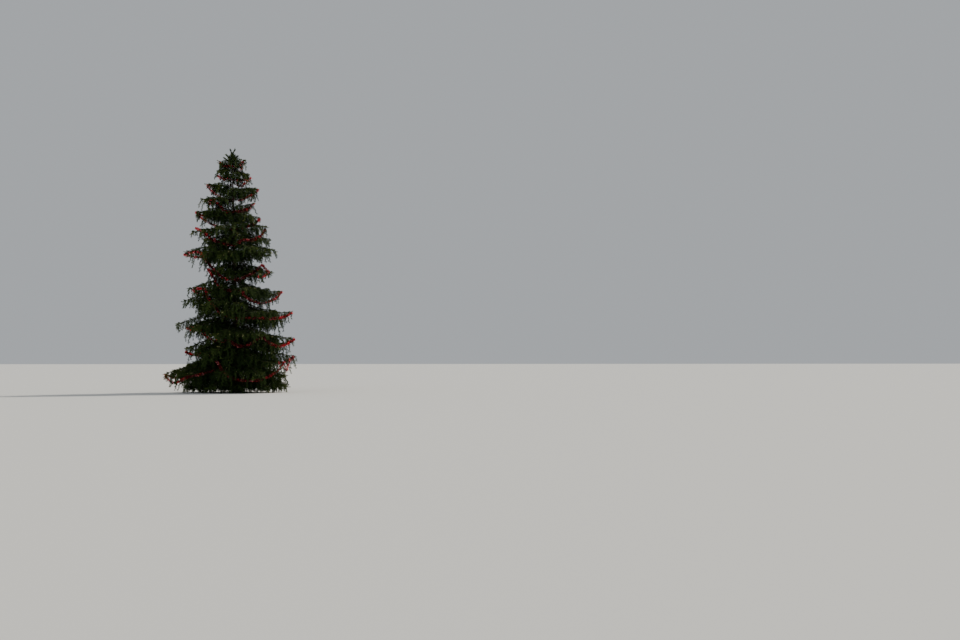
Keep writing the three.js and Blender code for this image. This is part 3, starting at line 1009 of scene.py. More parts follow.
@dataclass
class Foliage:
    """Side branches, hanging tassels of twigs and their needles on every bough.

    Attributes:
        side_spacing: Distance between side branches along a bough.
        tassel_spacing: Distance between hanging tassels along what carries them.
        shoot_spacing: Distance between shoots along a tassel.
        shoot_length: Length of a shoot at a tassel's root.
        short_fringe: How much shorter the tassels at the crown's edge are, as a share.
        hang_share: Shortest and longest tassel, as shares of the tier's hang. Few are near the longest.
        deep_share: Share of the inner tassels that hang deeper, across the gap to the tier below.
        deep_reach: How much deeper they may hang.
        deep_place: How far out in the crown the last of them are.
        deep_limit: Limit of a tier's tassels, in metres, above which it has deeper ones.
        top_spacing: Distance between the shoots on a bough's and on a side branch's upper side.
        top_shoot: Shortest and longest of those shoots.
        bare_place: How far out in the crown the shoots begin that show their twigs.
        front_shade: How much further in the foliage in front counts when the tones are dealt, which darkens
            the front as painted shade.
        shade_foot: Factor on that at the ground.
        shade_loss: How much lower that factor is at the top.
        glint_tip_share: Share of the outer shoots that have pale needles, painted glints of backlit tips.
        glint_tip_place: How far out in the crown such shoots begin.
        tassel_radius: Radius of a tassel's stem at its root.
        shoot_radius: Radius of a shoot's twig at its root.
        crown: The boughs, and the room for foliage.
        limbs: Figures of the boughs and side branches.
        fall: Figures of the hanging tassels.
        tips: Figures of the shoots at the tips.
        leader: Figures of the leader.
        needles: Shape and number of the needles.
        book: Every twig that bears needles.
        boughs: The boughs' mesh.
        branches: The side branches' mesh.
    """

    crown: CrownForm
    side_spacing: float = 0.27
    tassel_spacing: float = 0.27
    shoot_spacing: float = 0.088
    shoot_length: float = 0.17
    short_fringe: float = 0.4
    hang_share: Pair = (0.36, 1.34)
    deep_share: float = 0.24
    deep_reach: float = 2.1
    deep_place: float = 0.74
    deep_limit: float = 0.46
    top_spacing: Pair = (0.12, 0.26)
    top_shoot: Pair = (0.1, 0.2)
    bare_place: float = 0.55
    front_shade: float = 0.17
    shade_foot: float = 1.4
    shade_loss: float = 1.2
    glint_tip_share: float = 0.04
    glint_tip_place: float = 0.85
    tassel_radius: float = 0.0036
    shoot_radius: float = 0.0028
    limbs: LimbForm = LimbForm()
    fall: TasselForm = TasselForm()
    tips: TipForm = TipForm()
    leader: LeaderForm = LeaderForm()
    needles: NeedleForm = NeedleForm()
    book: SprayBook = field(default_factory=SprayBook)
    boughs: TubeBatch = field(default_factory=TubeBatch)
    branches: TubeBatch = field(default_factory=TubeBatch)

    def grow(self) -> None:
        """Grows every bough with its side branches, tassels and shoots, and the leader."""
        for bough in self.crown.boughs:
            self._bough(bough)
        self._leader()
        self.book.settle()
        self._shoots_on_tassels()
        self.book.settle()

    def _bough(self, bough: Bough) -> None:
        """Grows one bough.

        Args:
            bough: The bough.
        """
        random, form = self.crown.random, self.limbs
        steps = max(5, int(bough.length / form.ring_spacing))
        distance = np.linspace(0.0, bough.length, steps + 1)
        sides = 7 if bough.length > form.stout_length else 5
        rough = random.uniform(*form.rough, (steps, sides))
        self.boughs.add(bough.point(distance), bough.limb_radius(distance), sides, rough)

        bark = float(TRUNK.radius_at(bough.root_height()))
        start = max(form.bare_part * bough.length, bark + form.bare_gap)
        span = bough.length * form.branched_part - start
        count = max(2, round(span / self.side_spacing))
        for i in range(count):
            for way in (1, -1):
                self._side_branch(bough, start + span * (i + random.uniform(0.1, 0.9)) / count, way)
        self._clothe(bough, bough, start * 0.9, bough.length)
        self._tip_shoots(bough)

    def _side_branch(self, bough: Bough, at: float, way: int) -> None:
        """Grows a side branch, with its own tassels and shoots.

        Args:
            bough: The bough that carries it.
            at: Where on the bough it starts.
            way: 1 or -1, for the side that it leaves on.
        """
        random, form = self.crown.random, self.limbs
        share = at / bough.length
        noise = random.uniform(-form.fan_noise, form.fan_noise)
        fan = math.radians(form.fan - form.fan_loss * share + noise)
        half_gap = min(bough.half_gap * form.gap_share, form.widest_gap)
        wedge = (at * math.tan(half_gap) + form.gap_extra) / math.sin(fan)
        room = min((bough.length - at) * form.share_left + form.extra, wedge)
        length = room * random.uniform(*form.length_range)
        near, far = bough.point(np.array([at, min(at + 0.1, bough.length)]))
        slope = far - near
        fall = slope[2] / max(math.hypot(slope[0], slope[1]), 1e-3) * math.cos(fan)
        droop = form.droop + form.more_droop * bough.tier / len(TIERS)
        branch = SideBranch(near, bough.heading + way * fan, fall, droop, length)
        steps = max(2, int(length / form.branch_rings))
        distance = np.linspace(0, length, steps + 1)
        root = float(bough.limb_radius(at)) * form.root_share
        self.branches.add(branch.point(distance), np.linspace(root, form.tip_radius, steps + 1), 4)
        self._clothe(branch, bough, form.bare_gap, length)

    def _clothe(self, limb: Bough | SideBranch, bough: Bough, first: float, last: float) -> None:
        """Hangs tassels under a limb, sets short shoots on it and needles along it.

        Args:
            limb: The limb.
            bough: The bough that it belongs to.
            first: Where along the limb the tassels begin.
            last: Where they end.
        """
        random, form = self.crown.random, self.fall
        along = np.array([math.cos(limb.heading), math.sin(limb.heading), 0.0])
        aside = np.array([-along[1], along[0], 0.0])

        def spread(spacing: float) -> Array:
            """Places along the limb, about a spacing apart."""
            count = max(1, round((last - first) / spacing))
            return first + (last - first) * (np.arange(count) + random.uniform(0.05, 0.95, count)) / count

        starts = limb.point(spread(self.tassel_spacing))
        count = len(starts)
        outer = self.crown.outerness(starts)
        lean = random.normal(0, form.aside_noise, count)[:, None]
        way = unit(form.forward * along + lean * aside - random.uniform(*form.down, count)[:, None] * UP)
        distance = np.hypot(starts[:, 0] - TRUNK.x(starts[:, 2]), starts[:, 1])
        fringe = 1 - self.short_fringe * np.clip(4 * outer - 3, 0, 1)
        hang = bough.form.hang(distance, bough.heading) * fringe
        limit = between_sides(bough.form.tassel, bough.heading)
        deep = (outer < self.deep_place) & (random.uniform(0, 1, count) < self.deep_share)
        reach = self.deep_reach if limit > self.deep_limit else 1.0
        hang = np.minimum(hang, limit * np.where(deep, reach, 1.0))
        least, most = self.hang_share
        length = hang * (least + (most - least) * random.uniform(0, 1, count) ** 2)
        lowest = self.crown.floor(bough.tier, starts + way * length[:, None] * form.room_share)
        room = starts[:, 2] - lowest
        if bough.tier >= len(TIERS) - form.skirt_tiers:
            room = room + form.skirt_touch - form.skirt_uneven * random.uniform(0, 1, count) ** 3
        length = np.minimum(length, room - form.clearance)
        keep = length > form.shortest
        place = (outer + random.normal(0, form.place_noise, count))[keep]
        curl = random.uniform(*form.curl, keep.sum())
        self.book.add(starts[keep], way[keep], length[keep], curl, TwigKind.TASSEL, place)

        starts = limb.point(spread(self.top_spacing[0 if limb is bough else 1]))
        count = len(starts)
        sign = np.where(np.arange(count) % 2, 1, -1) * random.uniform(*form.top_aside, count)
        rise = random.uniform(*form.top_rise, count)
        way = unit(form.top_forward * along + sign[:, None] * aside + rise[:, None] * UP)
        length = random.uniform(*self.top_shoot, count)
        # Shoots on a limb's upper side get lighter tones: painted top light.
        place = self.crown.outerness(starts) + form.top_gain + random.normal(0, form.top_noise, count)
        self.book.add(starts, way, length, random.uniform(*form.top_curl, count), TwigKind.SHOOT, place)

        clad = first + (last - first) * form.clad_part
        stretches = max(1, round((last - clad) / form.clad_spacing))
        ends = limb.point(np.linspace(clad, last, stretches + 1))
        step = ends[1:] - ends[:-1]
        place = self.crown.outerness(ends[1:]) + random.normal(0, form.clad_noise, stretches)
        length = np.linalg.norm(step, axis=1)
        self.book.add(ends[:-1], unit(step), length, np.zeros(stretches), TwigKind.LIMB, place)

    def _shoots_on_tassels(self) -> None:
        """Sets shoots round every tassel, shorter towards its end."""
        random, book, form = self.crown.random, self.book, self.fall
        tassels = np.flatnonzero(book.kind == TwigKind.TASSEL.value)
        counts = np.maximum(1, np.round(book.length[tassels] / self.shoot_spacing)).astype(int)
        index = np.repeat(tassels, counts)
        first = np.repeat(np.cumsum(counts) - counts, counts)
        order = np.arange(len(index)) - first
        share = (order + random.uniform(0.3, 0.7, len(index))) / (np.repeat(counts, counts) + 0.4)
        point, tangent = book.axis(index, share)
        across, second = crosswise(book.direction[index], tangent)
        outward = around(order * GOLDEN_ANGLE + index * form.turn_step, across, second)
        way = unit(around(np.radians(random.uniform(*form.spread, len(index))), tangent, outward))
        length = self.shoot_length * (1 - form.shoot_taper * share)
        length = length * random.uniform(*form.shoot_range, len(index))
        # Upward shoots count further out and get lighter tones: painted top light.
        gain, upper_gain = form.shoot_gain
        place = book.place[index] + gain + upper_gain * outward[:, 2]
        place = place + random.normal(0, form.shoot_noise, len(index))
        book.add(point, way, length, random.uniform(*form.shoot_curl, len(index)), TwigKind.SHOOT, place)

    def _tip_shoots(self, bough: Bough) -> None:
        """Sets the shoots at a bough's tip, which bend up a little.

        Args:
            bough: The bough.
        """
        random, form = self.crown.random, self.tips
        count = len(form.turns)
        end = bough.point(np.array([bough.length * form.part]))[0]
        turns = bough.heading + np.radians(form.turns) + random.normal(0, form.turn_noise, count)
        way = unit(np.stack([np.cos(turns), np.sin(turns), random.uniform(*form.rise, count)], axis=1))
        # Tips near the tier get the pale tip tone, painted highlight; lower ones darker tones, painted
        # shade.
        place = np.full(count, form.places[0 if bough.lift > -form.lower else 1])
        length = random.uniform(*form.length, count)
        curl = np.full(count, form.curl)
        self.book.add(np.tile(end, (count, 1)), way, length, curl, TwigKind.SHOOT, place)

    def _leader(self) -> None:
        """Grows the leader above the trunk's tip: its twin stems and whorls of rising, branched shoots."""
        random, form = self.crown.random, self.leader
        rows = [row for height, tip in LEADER_STEMS for row in self._stem(height, np.array(tip))]
        for height, count, length, angle in LEADER_WHORLS:
            root = np.array([TRUNK.x(height), 0.0, height])
            for i in range(count):
                jitter = random.uniform(-form.whorl_jitter, form.whorl_jitter)
                turn = 2 * math.pi * (i + height * form.whorl_step) / count + jitter
                tilt = math.radians(angle + random.uniform(-form.tilt_jitter, form.tilt_jitter))
                level = math.sin(tilt)
                out = np.array([level * math.cos(turn), level * math.sin(turn), math.cos(tilt)])
                whole = length * random.uniform(*form.length_range)
                rows.append((root, out, whole))
                rows += self._side_shoots(root, out, whole)
        count = len(rows)
        starts, ways, lengths = (np.array([row[k] for row in rows]) for k in range(3))
        place = random.normal(*form.place, count)
        self.book.add(starts, ways, lengths, np.full(count, form.curl), TwigKind.SHOOT, place)

    def _stem(self, height: float, tip: Array) -> list[Shoot]:
        """Grows one of the leader's stems.

        Args:
            height: Height where it leaves the trunk.
            tip: Where it ends.

        Returns:
            Start, direction and length of each of its shoots.
        """
        random, form = self.crown.random, self.leader
        foot, fork = (np.array([TRUNK.x(z), 0.0, z]) for z in (height - form.depth, height))
        stem = tip - fork
        self.boughs.add(np.stack([foot, fork, fork + stem * 0.5, fork + stem]), np.array(form.radii), 6)
        way, whole = unit(stem), float(np.linalg.norm(stem))
        rows = []
        for share in form.coats:
            coat = unit(way + random.normal(0, form.coat_noise, 3))
            rows.append((fork + stem * share, coat, whole * (form.coat_end - share)))
        for share in np.linspace(*form.twig_parts, max(3, round(whole / form.twig_spacing))):
            aside = random.normal(0, 1, 3) * (1.0, 1.0, form.twig_flatness)
            twig = unit(way + form.twig_aside * unit(aside))
            rows.append((fork + stem * share, twig, random.uniform(*form.twig_length)))
        return rows

    def _side_shoots(self, root: Array, out: Array, whole: float) -> list[Shoot]:
        """Grows the side shoots of one of the leader's shoots.

        Args:
            root: Where the shoot starts.
            out: Its direction.
            whole: Its length.

        Returns:
            Start, direction and length of each of them.
        """
        form = self.leader
        aside = unit(np.cross(out, UP))
        first, step = form.branch_places
        rows = []
        for k in range(round(whole / form.branch_spacing)):
            turned = form.branch_aside if k % 2 else -form.branch_aside
            way = unit(out + turned * aside + self.crown.random.normal(0, form.branch_noise, 3))
            rows.append((root + out * whole * (first + step * k), way, whole * form.branch_length))
        return rows

    def tones(self) -> Array:
        """Deals out the tones of green: darker inside as painted shade, partly the needles' own darker
        green, darker in front as painted shade, and a few outer shoots pale as painted glints.

        Returns:
            The number of each twig's tone.
        """
        x, y, z = self.book.start.T
        # Foliage that faces the front, most of all near the ground, is dealt darker tones: painted shade.
        front = np.maximum(-y, 0) / np.maximum(np.hypot(x - TRUNK.x(z), y), 0.1)
        shade = self.front_shade * front * (self.shade_foot - self.shade_loss * z / TRUNK.tree_height)
        tones = np.searchsorted(TONE_PLACES, self.book.place - shade)
        # A few outer shoots get the pale tone: painted glints of backlit tips.
        lucky = self.crown.random.uniform(0, 1, len(tones)) < self.glint_tip_share
        outer = (self.book.place > self.glint_tip_place) & (self.book.kind == TwigKind.SHOOT.value)
        return np.where(lucky & outer, len(TONE_PLACES) + 1, tones)

    def tassel_mesh(self) -> Mesh:
        """Three-sided tapering stems of the tassels.

        Returns:
            The corners and the triangles.
        """
        chosen = np.flatnonzero(self.book.kind == TwigKind.TASSEL.value)
        rings = []
        for share, size in ((0.0, 1.0), (0.5, 0.7)):
            rings += self._ring(chosen, share, self.tassel_radius * size)
        tip, _ = self.book.axis(chosen, np.full(len(chosen), 0.98))
        faces = [[2, 1, 0]]
        for k in range(3):
            after = (k + 1) % 3
            faces += [[k, after, 3 + after], [k, 3 + after, 3 + k], [3 + k, 3 + after, 6]]
        return self._repeat(np.stack([*rings, tip], axis=1), faces)

    def shoot_mesh(self) -> Mesh:
        """Three-sided spikes in the shoots that can be seen from outside.

        Returns:
            The corners and the triangles.
        """
        outer = self.book.place > self.bare_place
        chosen = np.flatnonzero(outer & (self.book.kind == TwigKind.SHOOT.value))
        tip, _ = self.book.axis(chosen, np.full(len(chosen), 0.95))
        corners = np.stack([*self._ring(chosen, 0.0, self.shoot_radius), tip], axis=1)
        return self._repeat(corners, [[0, 1, 3], [1, 2, 3], [2, 0, 3], [2, 1, 0]])

    def _ring(self, chosen: Array, share: float, radius: float) -> list[Array]:
        """Sets three points round each twig.

        Args:
            chosen: Which twigs.
            share: How far along them, from 0 to 1.
            radius: Distance of the points from the twig's axis.

        Returns:
            The first points of all the twigs, the second and the third.
        """
        point, tangent = self.book.axis(chosen, np.full(len(chosen), share))
        across, second = crosswise(self.book.direction[chosen], tangent)
        turns = [2 * math.pi * k / 3 for k in range(3)]
        return [point + radius * (math.cos(t) * across + math.sin(t) * second) for t in turns]

    def _repeat(self, corners: Array, faces: list[list[int]]) -> Mesh:
        """Joins many small shapes that have the same faces.

        Args:
            corners: Corners, by shape and corner.
            faces: Faces of one shape.

        Returns:
            The corners and the triangles of all of them.
        """
        corners[..., 2] = np.maximum(corners[..., 2], GROUND)
        triangles = np.array(faces)[None] + corners.shape[1] * np.arange(len(corners))[:, None, None]
        return corners.reshape(-1, 3), triangles.reshape(-1, 3)


# Shader maths


@dataclass(frozen=True)
class Link:
    """A socket whose arithmetic adds the Math nodes it needs."""

    tree: bpy.types.NodeTree
    socket: bpy.types.NodeSocket

    def _math(self, operation: str, first: "Link | float", second: "Link | float") -> "Link":
        """Adds a Math node.

        Args:
            operation: What it does.
            first: Its first value or link.
            second: Its second one.

        Returns:
            A link from the result.
        """
        node = self.tree.nodes.new("ShaderNodeMath")
        node.operation = operation
        for place, value in enumerate((first, second)):
            if isinstance(value, Link):
                self.tree.links.new(value.socket, node.inputs[place])
            else:
                node.inputs[place].default_value = value
        return Link(self.tree, node.outputs[0])

    def __add__(self, other: "Link | float") -> "Link":
        """Sum."""
        return self._math("ADD", self, other)

    __radd__ = __add__

    def __sub__(self, other: "Link | float") -> "Link":
        """Difference."""
        return self._math("SUBTRACT", self, other)

    def __mul__(self, other: "Link | float") -> "Link":
        """Product."""
        return self._math("MULTIPLY", self, other)

    def __pow__(self, other: float) -> "Link":
        """Power."""
        return self._math("POWER", self, other)


class Shader:
    """A material with a Principled shader, and the nodes in front of it."""

    def __init__(self, name: str) -> None:
        """Makes the material.

        Args:
            name: Name of the material.
        """
        self.material = bpy.data.materials.new(name)
        self.material.use_nodes = True
        self.tree = self.material.node_tree
        self.surface = self.tree.nodes["Principled BSDF"]

    def node(
        self, kind: str, settings: dict | None = None, sockets: dict | None = None, **inputs: object
    ) -> bpy.types.Node:
        """Adds a node.

        Args:
            kind: Its type, such as ShaderNodeTexNoise.
            settings: Its own settings, such as a Math node's operation, or stops for a ramp's colours.
            sockets: Values or links of sockets that share a name with others, by number.
            inputs: Values or links of its other sockets, by name with _ for a space.

        Returns:
            The node.
        """
        node = self.tree.nodes.new(kind)
        for key, value in (settings or {}).items():
            if key == "stops":
                ramp = node.color_ramp
                while len(ramp.elements) < len(value):
                    ramp.elements.new(0.5)
                for element, (position, colour) in zip(ramp.elements, value):
                    element.position = position
                    element.color = (*colour, 1.0)
            else:
                setattr(node, key, value)
        for number, value in (sockets or {}).items():
            self.put(node.inputs[number], value)
        for key, value in inputs.items():
            self.put(node.inputs[key.replace("_", " ")], value)
        return node

    def put(self, socket: bpy.types.NodeSocket, value: object) -> None:
        """Sets or links a socket.

        Args:
            socket: The socket.
            value: Its value, or a link to it.
        """
        if isinstance(value, Link):
            self.tree.links.new(value.socket, socket)
        else:
            socket.default_value = value

    def link(self, node: bpy.types.Node, output: str | int = 0) -> Link:
        """A node's output as a link, by its name or number."""
        return Link(self.tree, node.outputs[output])

    def set(self, **inputs: object) -> None:
        """Sets or links sockets of the Principled shader, by name with _ for a space."""
        for key, value in inputs.items():
            self.put(self.surface.inputs[key.replace("_", " ")], value)


@dataclass(frozen=True)
class PlainFinish:
    """One colour, for joined pieces of many small shapes.

    Attributes:
        name: Name of the material.
        colour: Its colour.
        roughness: Its roughness.
        metallic: How metallic it is.
        specular: How much it reflects.
    """

    name: str
    colour: tuple[float, float, float]
    roughness: float
    metallic: float = 0.0
    specular: float = 0.5

    def material(self) -> bpy.types.Material:
        """Makes the material.

        Returns:
            The material.
        """
        shader = Shader(self.name)
        shader.set(
            Base_Color=(*self.colour, 1.0),
            Roughness=self.roughness,
            Metallic=self.metallic,
            Specular_IOR_Level=self.specular,
        )
        return shader.material


@dataclass(frozen=True)
class BarkFinish:
    """Rough grey-brown bark in small scales, with darker cracks and a little lichen.

    Attributes:
        name: Name of the material.
        crack: Colour between the scales.
        scale: Colour of a dark scale.
        pale: Colour of a pale one.
        lichen: Colour of the lichen.
        per_metre: Number of scales on a metre.
        flatness: Height of a scale's pattern along the trunk, as a share of its width.
        relief: Depth of the cracks.
    """

    name: str = "bark"
    crack: tuple[float, float, float] = (0.02, 0.013, 0.009)
    scale: tuple[float, float, float] = (0.085, 0.055, 0.038)
    pale: tuple[float, float, float] = (0.19, 0.148, 0.115)
    lichen: tuple[float, float, float] = (0.12, 0.135, 0.085)
    per_metre: float = 36.0
    flatness: float = 0.55
    relief: float = 0.012

    def material(self) -> bpy.types.Material:
        """Makes the material.

        Returns:
            The material.
        """
        shader = Shader(self.name)
        place = shader.link(shader.node("ShaderNodeTexCoord"), "Object")
        mapping = shader.node("ShaderNodeMapping", Vector=place, Scale=(1.0, 1.0, self.flatness))
        stretched = shader.link(mapping)
        swirl = shader.node("ShaderNodeTexNoise", Vector=stretched, Scale=self.per_metre / 2, Detail=5.0)
        warp = shader.node(
            "ShaderNodeMix",
            {"data_type": "VECTOR"},
            {4: stretched, 5: shader.link(swirl, "Color")},
            Factor=2.2 / self.per_metre,
        )
        warped = shader.link(warp, 1)

        def scales(feature: str, size: float, output: str) -> Link:
            """Pattern of scales of bark.

            Args:
                feature: What it gives, such as the distance from the cracks.
                size: Factor on the number of scales.
                output: Name of the pattern's output.

            Returns:
                A link from that output.
            """
            pattern = shader.node(
                "ShaderNodeTexVoronoi", {"feature": feature}, Vector=warped, Scale=self.per_metre * size
            )
            return shader.link(pattern, output)

        edge = scales("DISTANCE_TO_EDGE", 1.0, "Distance")
        flake = scales("DISTANCE_TO_EDGE", 2.7, "Distance")
        tone = scales("F1", 1.0, "Color")
        grain = shader.node("ShaderNodeTexNoise", Vector=place, Scale=self.per_metre * 4, Detail=6.0)
        fine = shader.link(grain)
        broad = shader.link(shader.node("ShaderNodeTexNoise", Vector=place, Scale=2.6, Detail=3.0))
        colour = shader.node(
            "ShaderNodeValToRGB",
            {"stops": [(0.0, self.crack), (0.26, self.scale), (0.72, self.pale)]},
            Fac=edge * 1.5 + flake * 0.7 + tone * 0.3 + fine * 0.7 - 0.56,
        )
        patches = shader.node(
            "ShaderNodeMapRange", Value=broad, From_Min=0.54, From_Max=0.7, To_Min=0.0, To_Max=0.55
        )
        mixed = shader.node(
            "ShaderNodeMix",
            {"data_type": "RGBA"},
            {0: shader.link(patches), 6: shader.link(colour), 7: (*self.lichen, 1.0)},
        )
        height = edge ** 0.6 * 0.6 + flake * 0.35 + tone * 0.15 + fine * 0.3
        bump = shader.node("ShaderNodeBump", Height=height, Strength=0.8, Distance=self.relief)
        shader.set(
            Base_Color=shader.link(mixed, 2),
            Roughness=0.8 + fine * 0.2,
            Normal=shader.link(bump),
            Specular_IOR_Level=0.25,
        )
        return shader.material


# How far out in the crown each tone begins, from the second to the sixth: darker inside as painted shade,
# paler outside as painted highlight, in part the needles' own greens
TONE_PLACES = (0.35, 0.55, 0.75, 0.92, 1.08)
NEEDLE_FINISHES = {
    Tone.CORE: PlainFinish("needles_core", (0.0066, 0.0185, 0.0032), 0.8, specular=0.1),
    Tone.SHADE: PlainFinish("needles_shade", (0.0122, 0.0275, 0.0046), 0.75, specular=0.12),
    Tone.DEEP: PlainFinish("needles_deep", (0.021, 0.0405, 0.0065), 0.7, specular=0.14),
    Tone.LEAF: PlainFinish("needles_leaf", (0.033, 0.06, 0.009), 0.65, specular=0.16),
    Tone.OLIVE: PlainFinish("needles_olive", (0.06, 0.085, 0.0125), 0.6, specular=0.2),
    Tone.TIP: PlainFinish("needles_tip", (0.125, 0.133, 0.028), 0.55, specular=0.25),
    # Pale needles of a few outer shoots: painted glints.
    Tone.FRESH: PlainFinish("needles_glint_tip", (0.27, 0.265, 0.1), 0.5, specular=0.35),
}
BOUGH_BARK = BarkFinish(
    "bough_bark",
    scale=(0.06, 0.041, 0.03),
    pale=(0.125, 0.1, 0.08),
    lichen=(0.09, 0.1, 0.065),
    per_metre=105.0,
    flatness=1.0,
    relief=0.004,
)
TWIG_FINISH = PlainFinish("twig_bark", (0.05, 0.031, 0.018), 0.85, specular=0.15)
FOIL_FINISHES = {
    # Crimson foil: the tinsel's own red, darkened as painted shade; it makes up most of the garland, most
    # of all in front.
    "garland_painted_shade_foil": PlainFinish("crimson_painted_shade_foil", (0.105, 0.014, 0.017), 0.36, metallic=1.0),
    # Vivid red foil: painted sheen, dealt mostly to the garland's ends at the crown's sides.
    "garland_painted_sheen_foil": PlainFinish("red_painted_sheen_foil", (0.85, 0.05, 0.07), 0.28, metallic=1.0),
    # Pale pink foil: painted glints, in short bursts and most at the crown's sides.
    "garland_painted_glint_foil": PlainFinish("painted_glint_foil", (0.98, 0.32, 0.35), 0.18, metallic=1.0),
}
WIRE_FINISH = PlainFinish("garland_wire", (0.06, 0.004, 0.006), 0.5, metallic=0.4)


# Trunk


def select_none() -> None:
    """Leaves nothing selected, so that operators act only on what is made next."""
    if bpy.context.object and bpy.context.object.mode != "OBJECT":
        bpy.ops.object.mode_set(mode="OBJECT")
    bpy.ops.object.select_all(action="DESELECT")


@dataclass
class BarkTrunk:
    """The trunk with its bark's relief, drawn up ring by ring from the ground.

    Attributes:
        form: Taper, lean and root flare.
        sides: Number of sides.
        low_step: Distance between rings near the ground.
        low_height: Height where that ends.
        high_step: Distance between rings above it.
        bark_depth: Depth of the relief.
        lobe_depth: How much deeper the lobes of the root flare are than on the plain solid.
        flare_end: Height where the root flare has died away.
        most_flare: Factor that no lobe goes past, since a vertex group's weights end at 1.
        least_relief: Share of the relief that a trunk of no thickness has.
        relief_growth: How much a metre of radius adds to that share.
        textures: Name, kind, size and share of the depth of each texture of the relief.
    """

    form: TrunkForm = TRUNK
    sides: int = 60
    low_step: float = 0.07
    low_height: float = 2.2
    high_step: float = 0.3
    bark_depth: float = 0.009
    lobe_depth: float = 3.0
    flare_end: float = 1.6
    most_flare: float = 1.4
    least_relief: float = 0.35
    relief_growth: float = 5.0
    textures: tuple[tuple[str, str, float, float], ...] = (
        ("plates", "VORONOI", 0.045, 1.0),
        ("lumps", "CLOUDS", 0.16, 1.3),
    )

    def _heights(self) -> list[float]:
        """Heights of the rings.

        Returns:
            The heights, close together near the ground.
        """
        low = np.arange(self.low_step, self.low_height, self.low_step)
        high = np.arange(self.low_height, self.form.tip_height - 0.1, self.high_step)
        return [float(h) for h in (*low, *high, self.form.tip_height)]

    def build(self) -> bpy.types.Object:
        """Makes the trunk.

        Returns:
            The trunk's object.
        """
        select_none()
        bpy.ops.mesh.primitive_circle_add(vertices=self.sides, radius=self.form.radius, fill_type="NGON")
        trunk = bpy.context.object
        trunk.name = trunk.data.name = "trunk_bark"
        bpy.ops.object.mode_set(mode="EDIT")
        bpy.ops.mesh.select_all(action="SELECT")
        below = 0.0
        for height in self._heights():
            grow = float(self.form.radius_at(height) / self.form.radius_at(below))
            shift = (float(self.form.x(height) - self.form.x(below)), 0.0, height - below)
            centre = (float(self.form.x(height)), 0.0, height)
            bpy.ops.mesh.extrude_region_move(TRANSFORM_OT_translate={"value": shift})
            bpy.ops.transform.resize(value=(grow, grow, 1.0), center_override=centre)
            below = height
        bpy.ops.mesh.select_all(action="SELECT")
        bpy.ops.mesh.normals_make_consistent(inside=False)
        bpy.ops.object.mode_set(mode="OBJECT")
        self._flare(trunk)
        self._relief(trunk)
        bpy.ops.object.shade_smooth()
        return trunk

    def _flare(self, trunk: bpy.types.Object) -> None:
        """Spreads the foot into lobes by a vertex group and a Displace modifier.

        Args:
            trunk: The trunk's object.
        """

        def lobe(x: float, y: float) -> float:
            """Factor on the flare at a place round the trunk."""
            turn = self.form.flare_lobes * math.atan2(y, x)
            return 1 + self.lobe_depth * self.form.flare_lobe_share * math.cos(turn)

        group = trunk.vertex_groups.new(name="flare")
        for vertex in trunk.data.vertices:
            x, y, z = vertex.co
            fade = math.exp(-max(z, 0.0) / self.form.flare_height)
            if z < self.flare_end:
                group.add([vertex.index], fade * lobe(x, y) / self.most_flare, "REPLACE")
        flare = trunk.modifiers.new("flare", "DISPLACE")
        flare.vertex_group = "flare"
        flare.direction = "NORMAL"
        flare.mid_level = 0.0
        flare.strength = self.form.flare_out * self.most_flare
        bpy.ops.object.modifier_apply(modifier="flare")
        for vertex in trunk.data.vertices:
            x, y, z = vertex.co
            if z < self.low_step * 0.6:
                foot = (self.form.radius + self.form.flare_out * lobe(x, y)) / math.hypot(x, y)
                vertex.co = (x * foot, y * foot, 0.0)

    def _relief(self, trunk: bpy.types.Object) -> None:
        """Gives the bark its plates and cracks.

        Args:
            trunk: The trunk's object.
        """
        finer = trunk.modifiers.new("finer", "SUBSURF")
        finer.subdivision_type = "SIMPLE"
        finer.levels = finer.render_levels = 1
        bpy.ops.object.modifier_apply(modifier="finer")
        body = trunk.vertex_groups.new(name="body")
        for vertex in trunk.data.vertices:
            share = self.least_relief + self.form.radius_at(vertex.co.z) * self.relief_growth
            if vertex.co.z > 0.001:
                body.add([vertex.index], min(1.0, share), "REPLACE")
        for name, kind, scale, depth in self.textures:
            texture = bpy.data.textures.new(name, kind)
            texture.noise_scale = scale
            push = trunk.modifiers.new(name, "DISPLACE")
            push.texture = texture
            push.texture_coords = "LOCAL"
            push.vertex_group = "body"
            push.mid_level = 0.5
            push.strength = self.bark_depth * depth
            bpy.ops.object.modifier_apply(modifier=name)


# Garlands


Strand = tuple[tuple[float, float, float], ...]
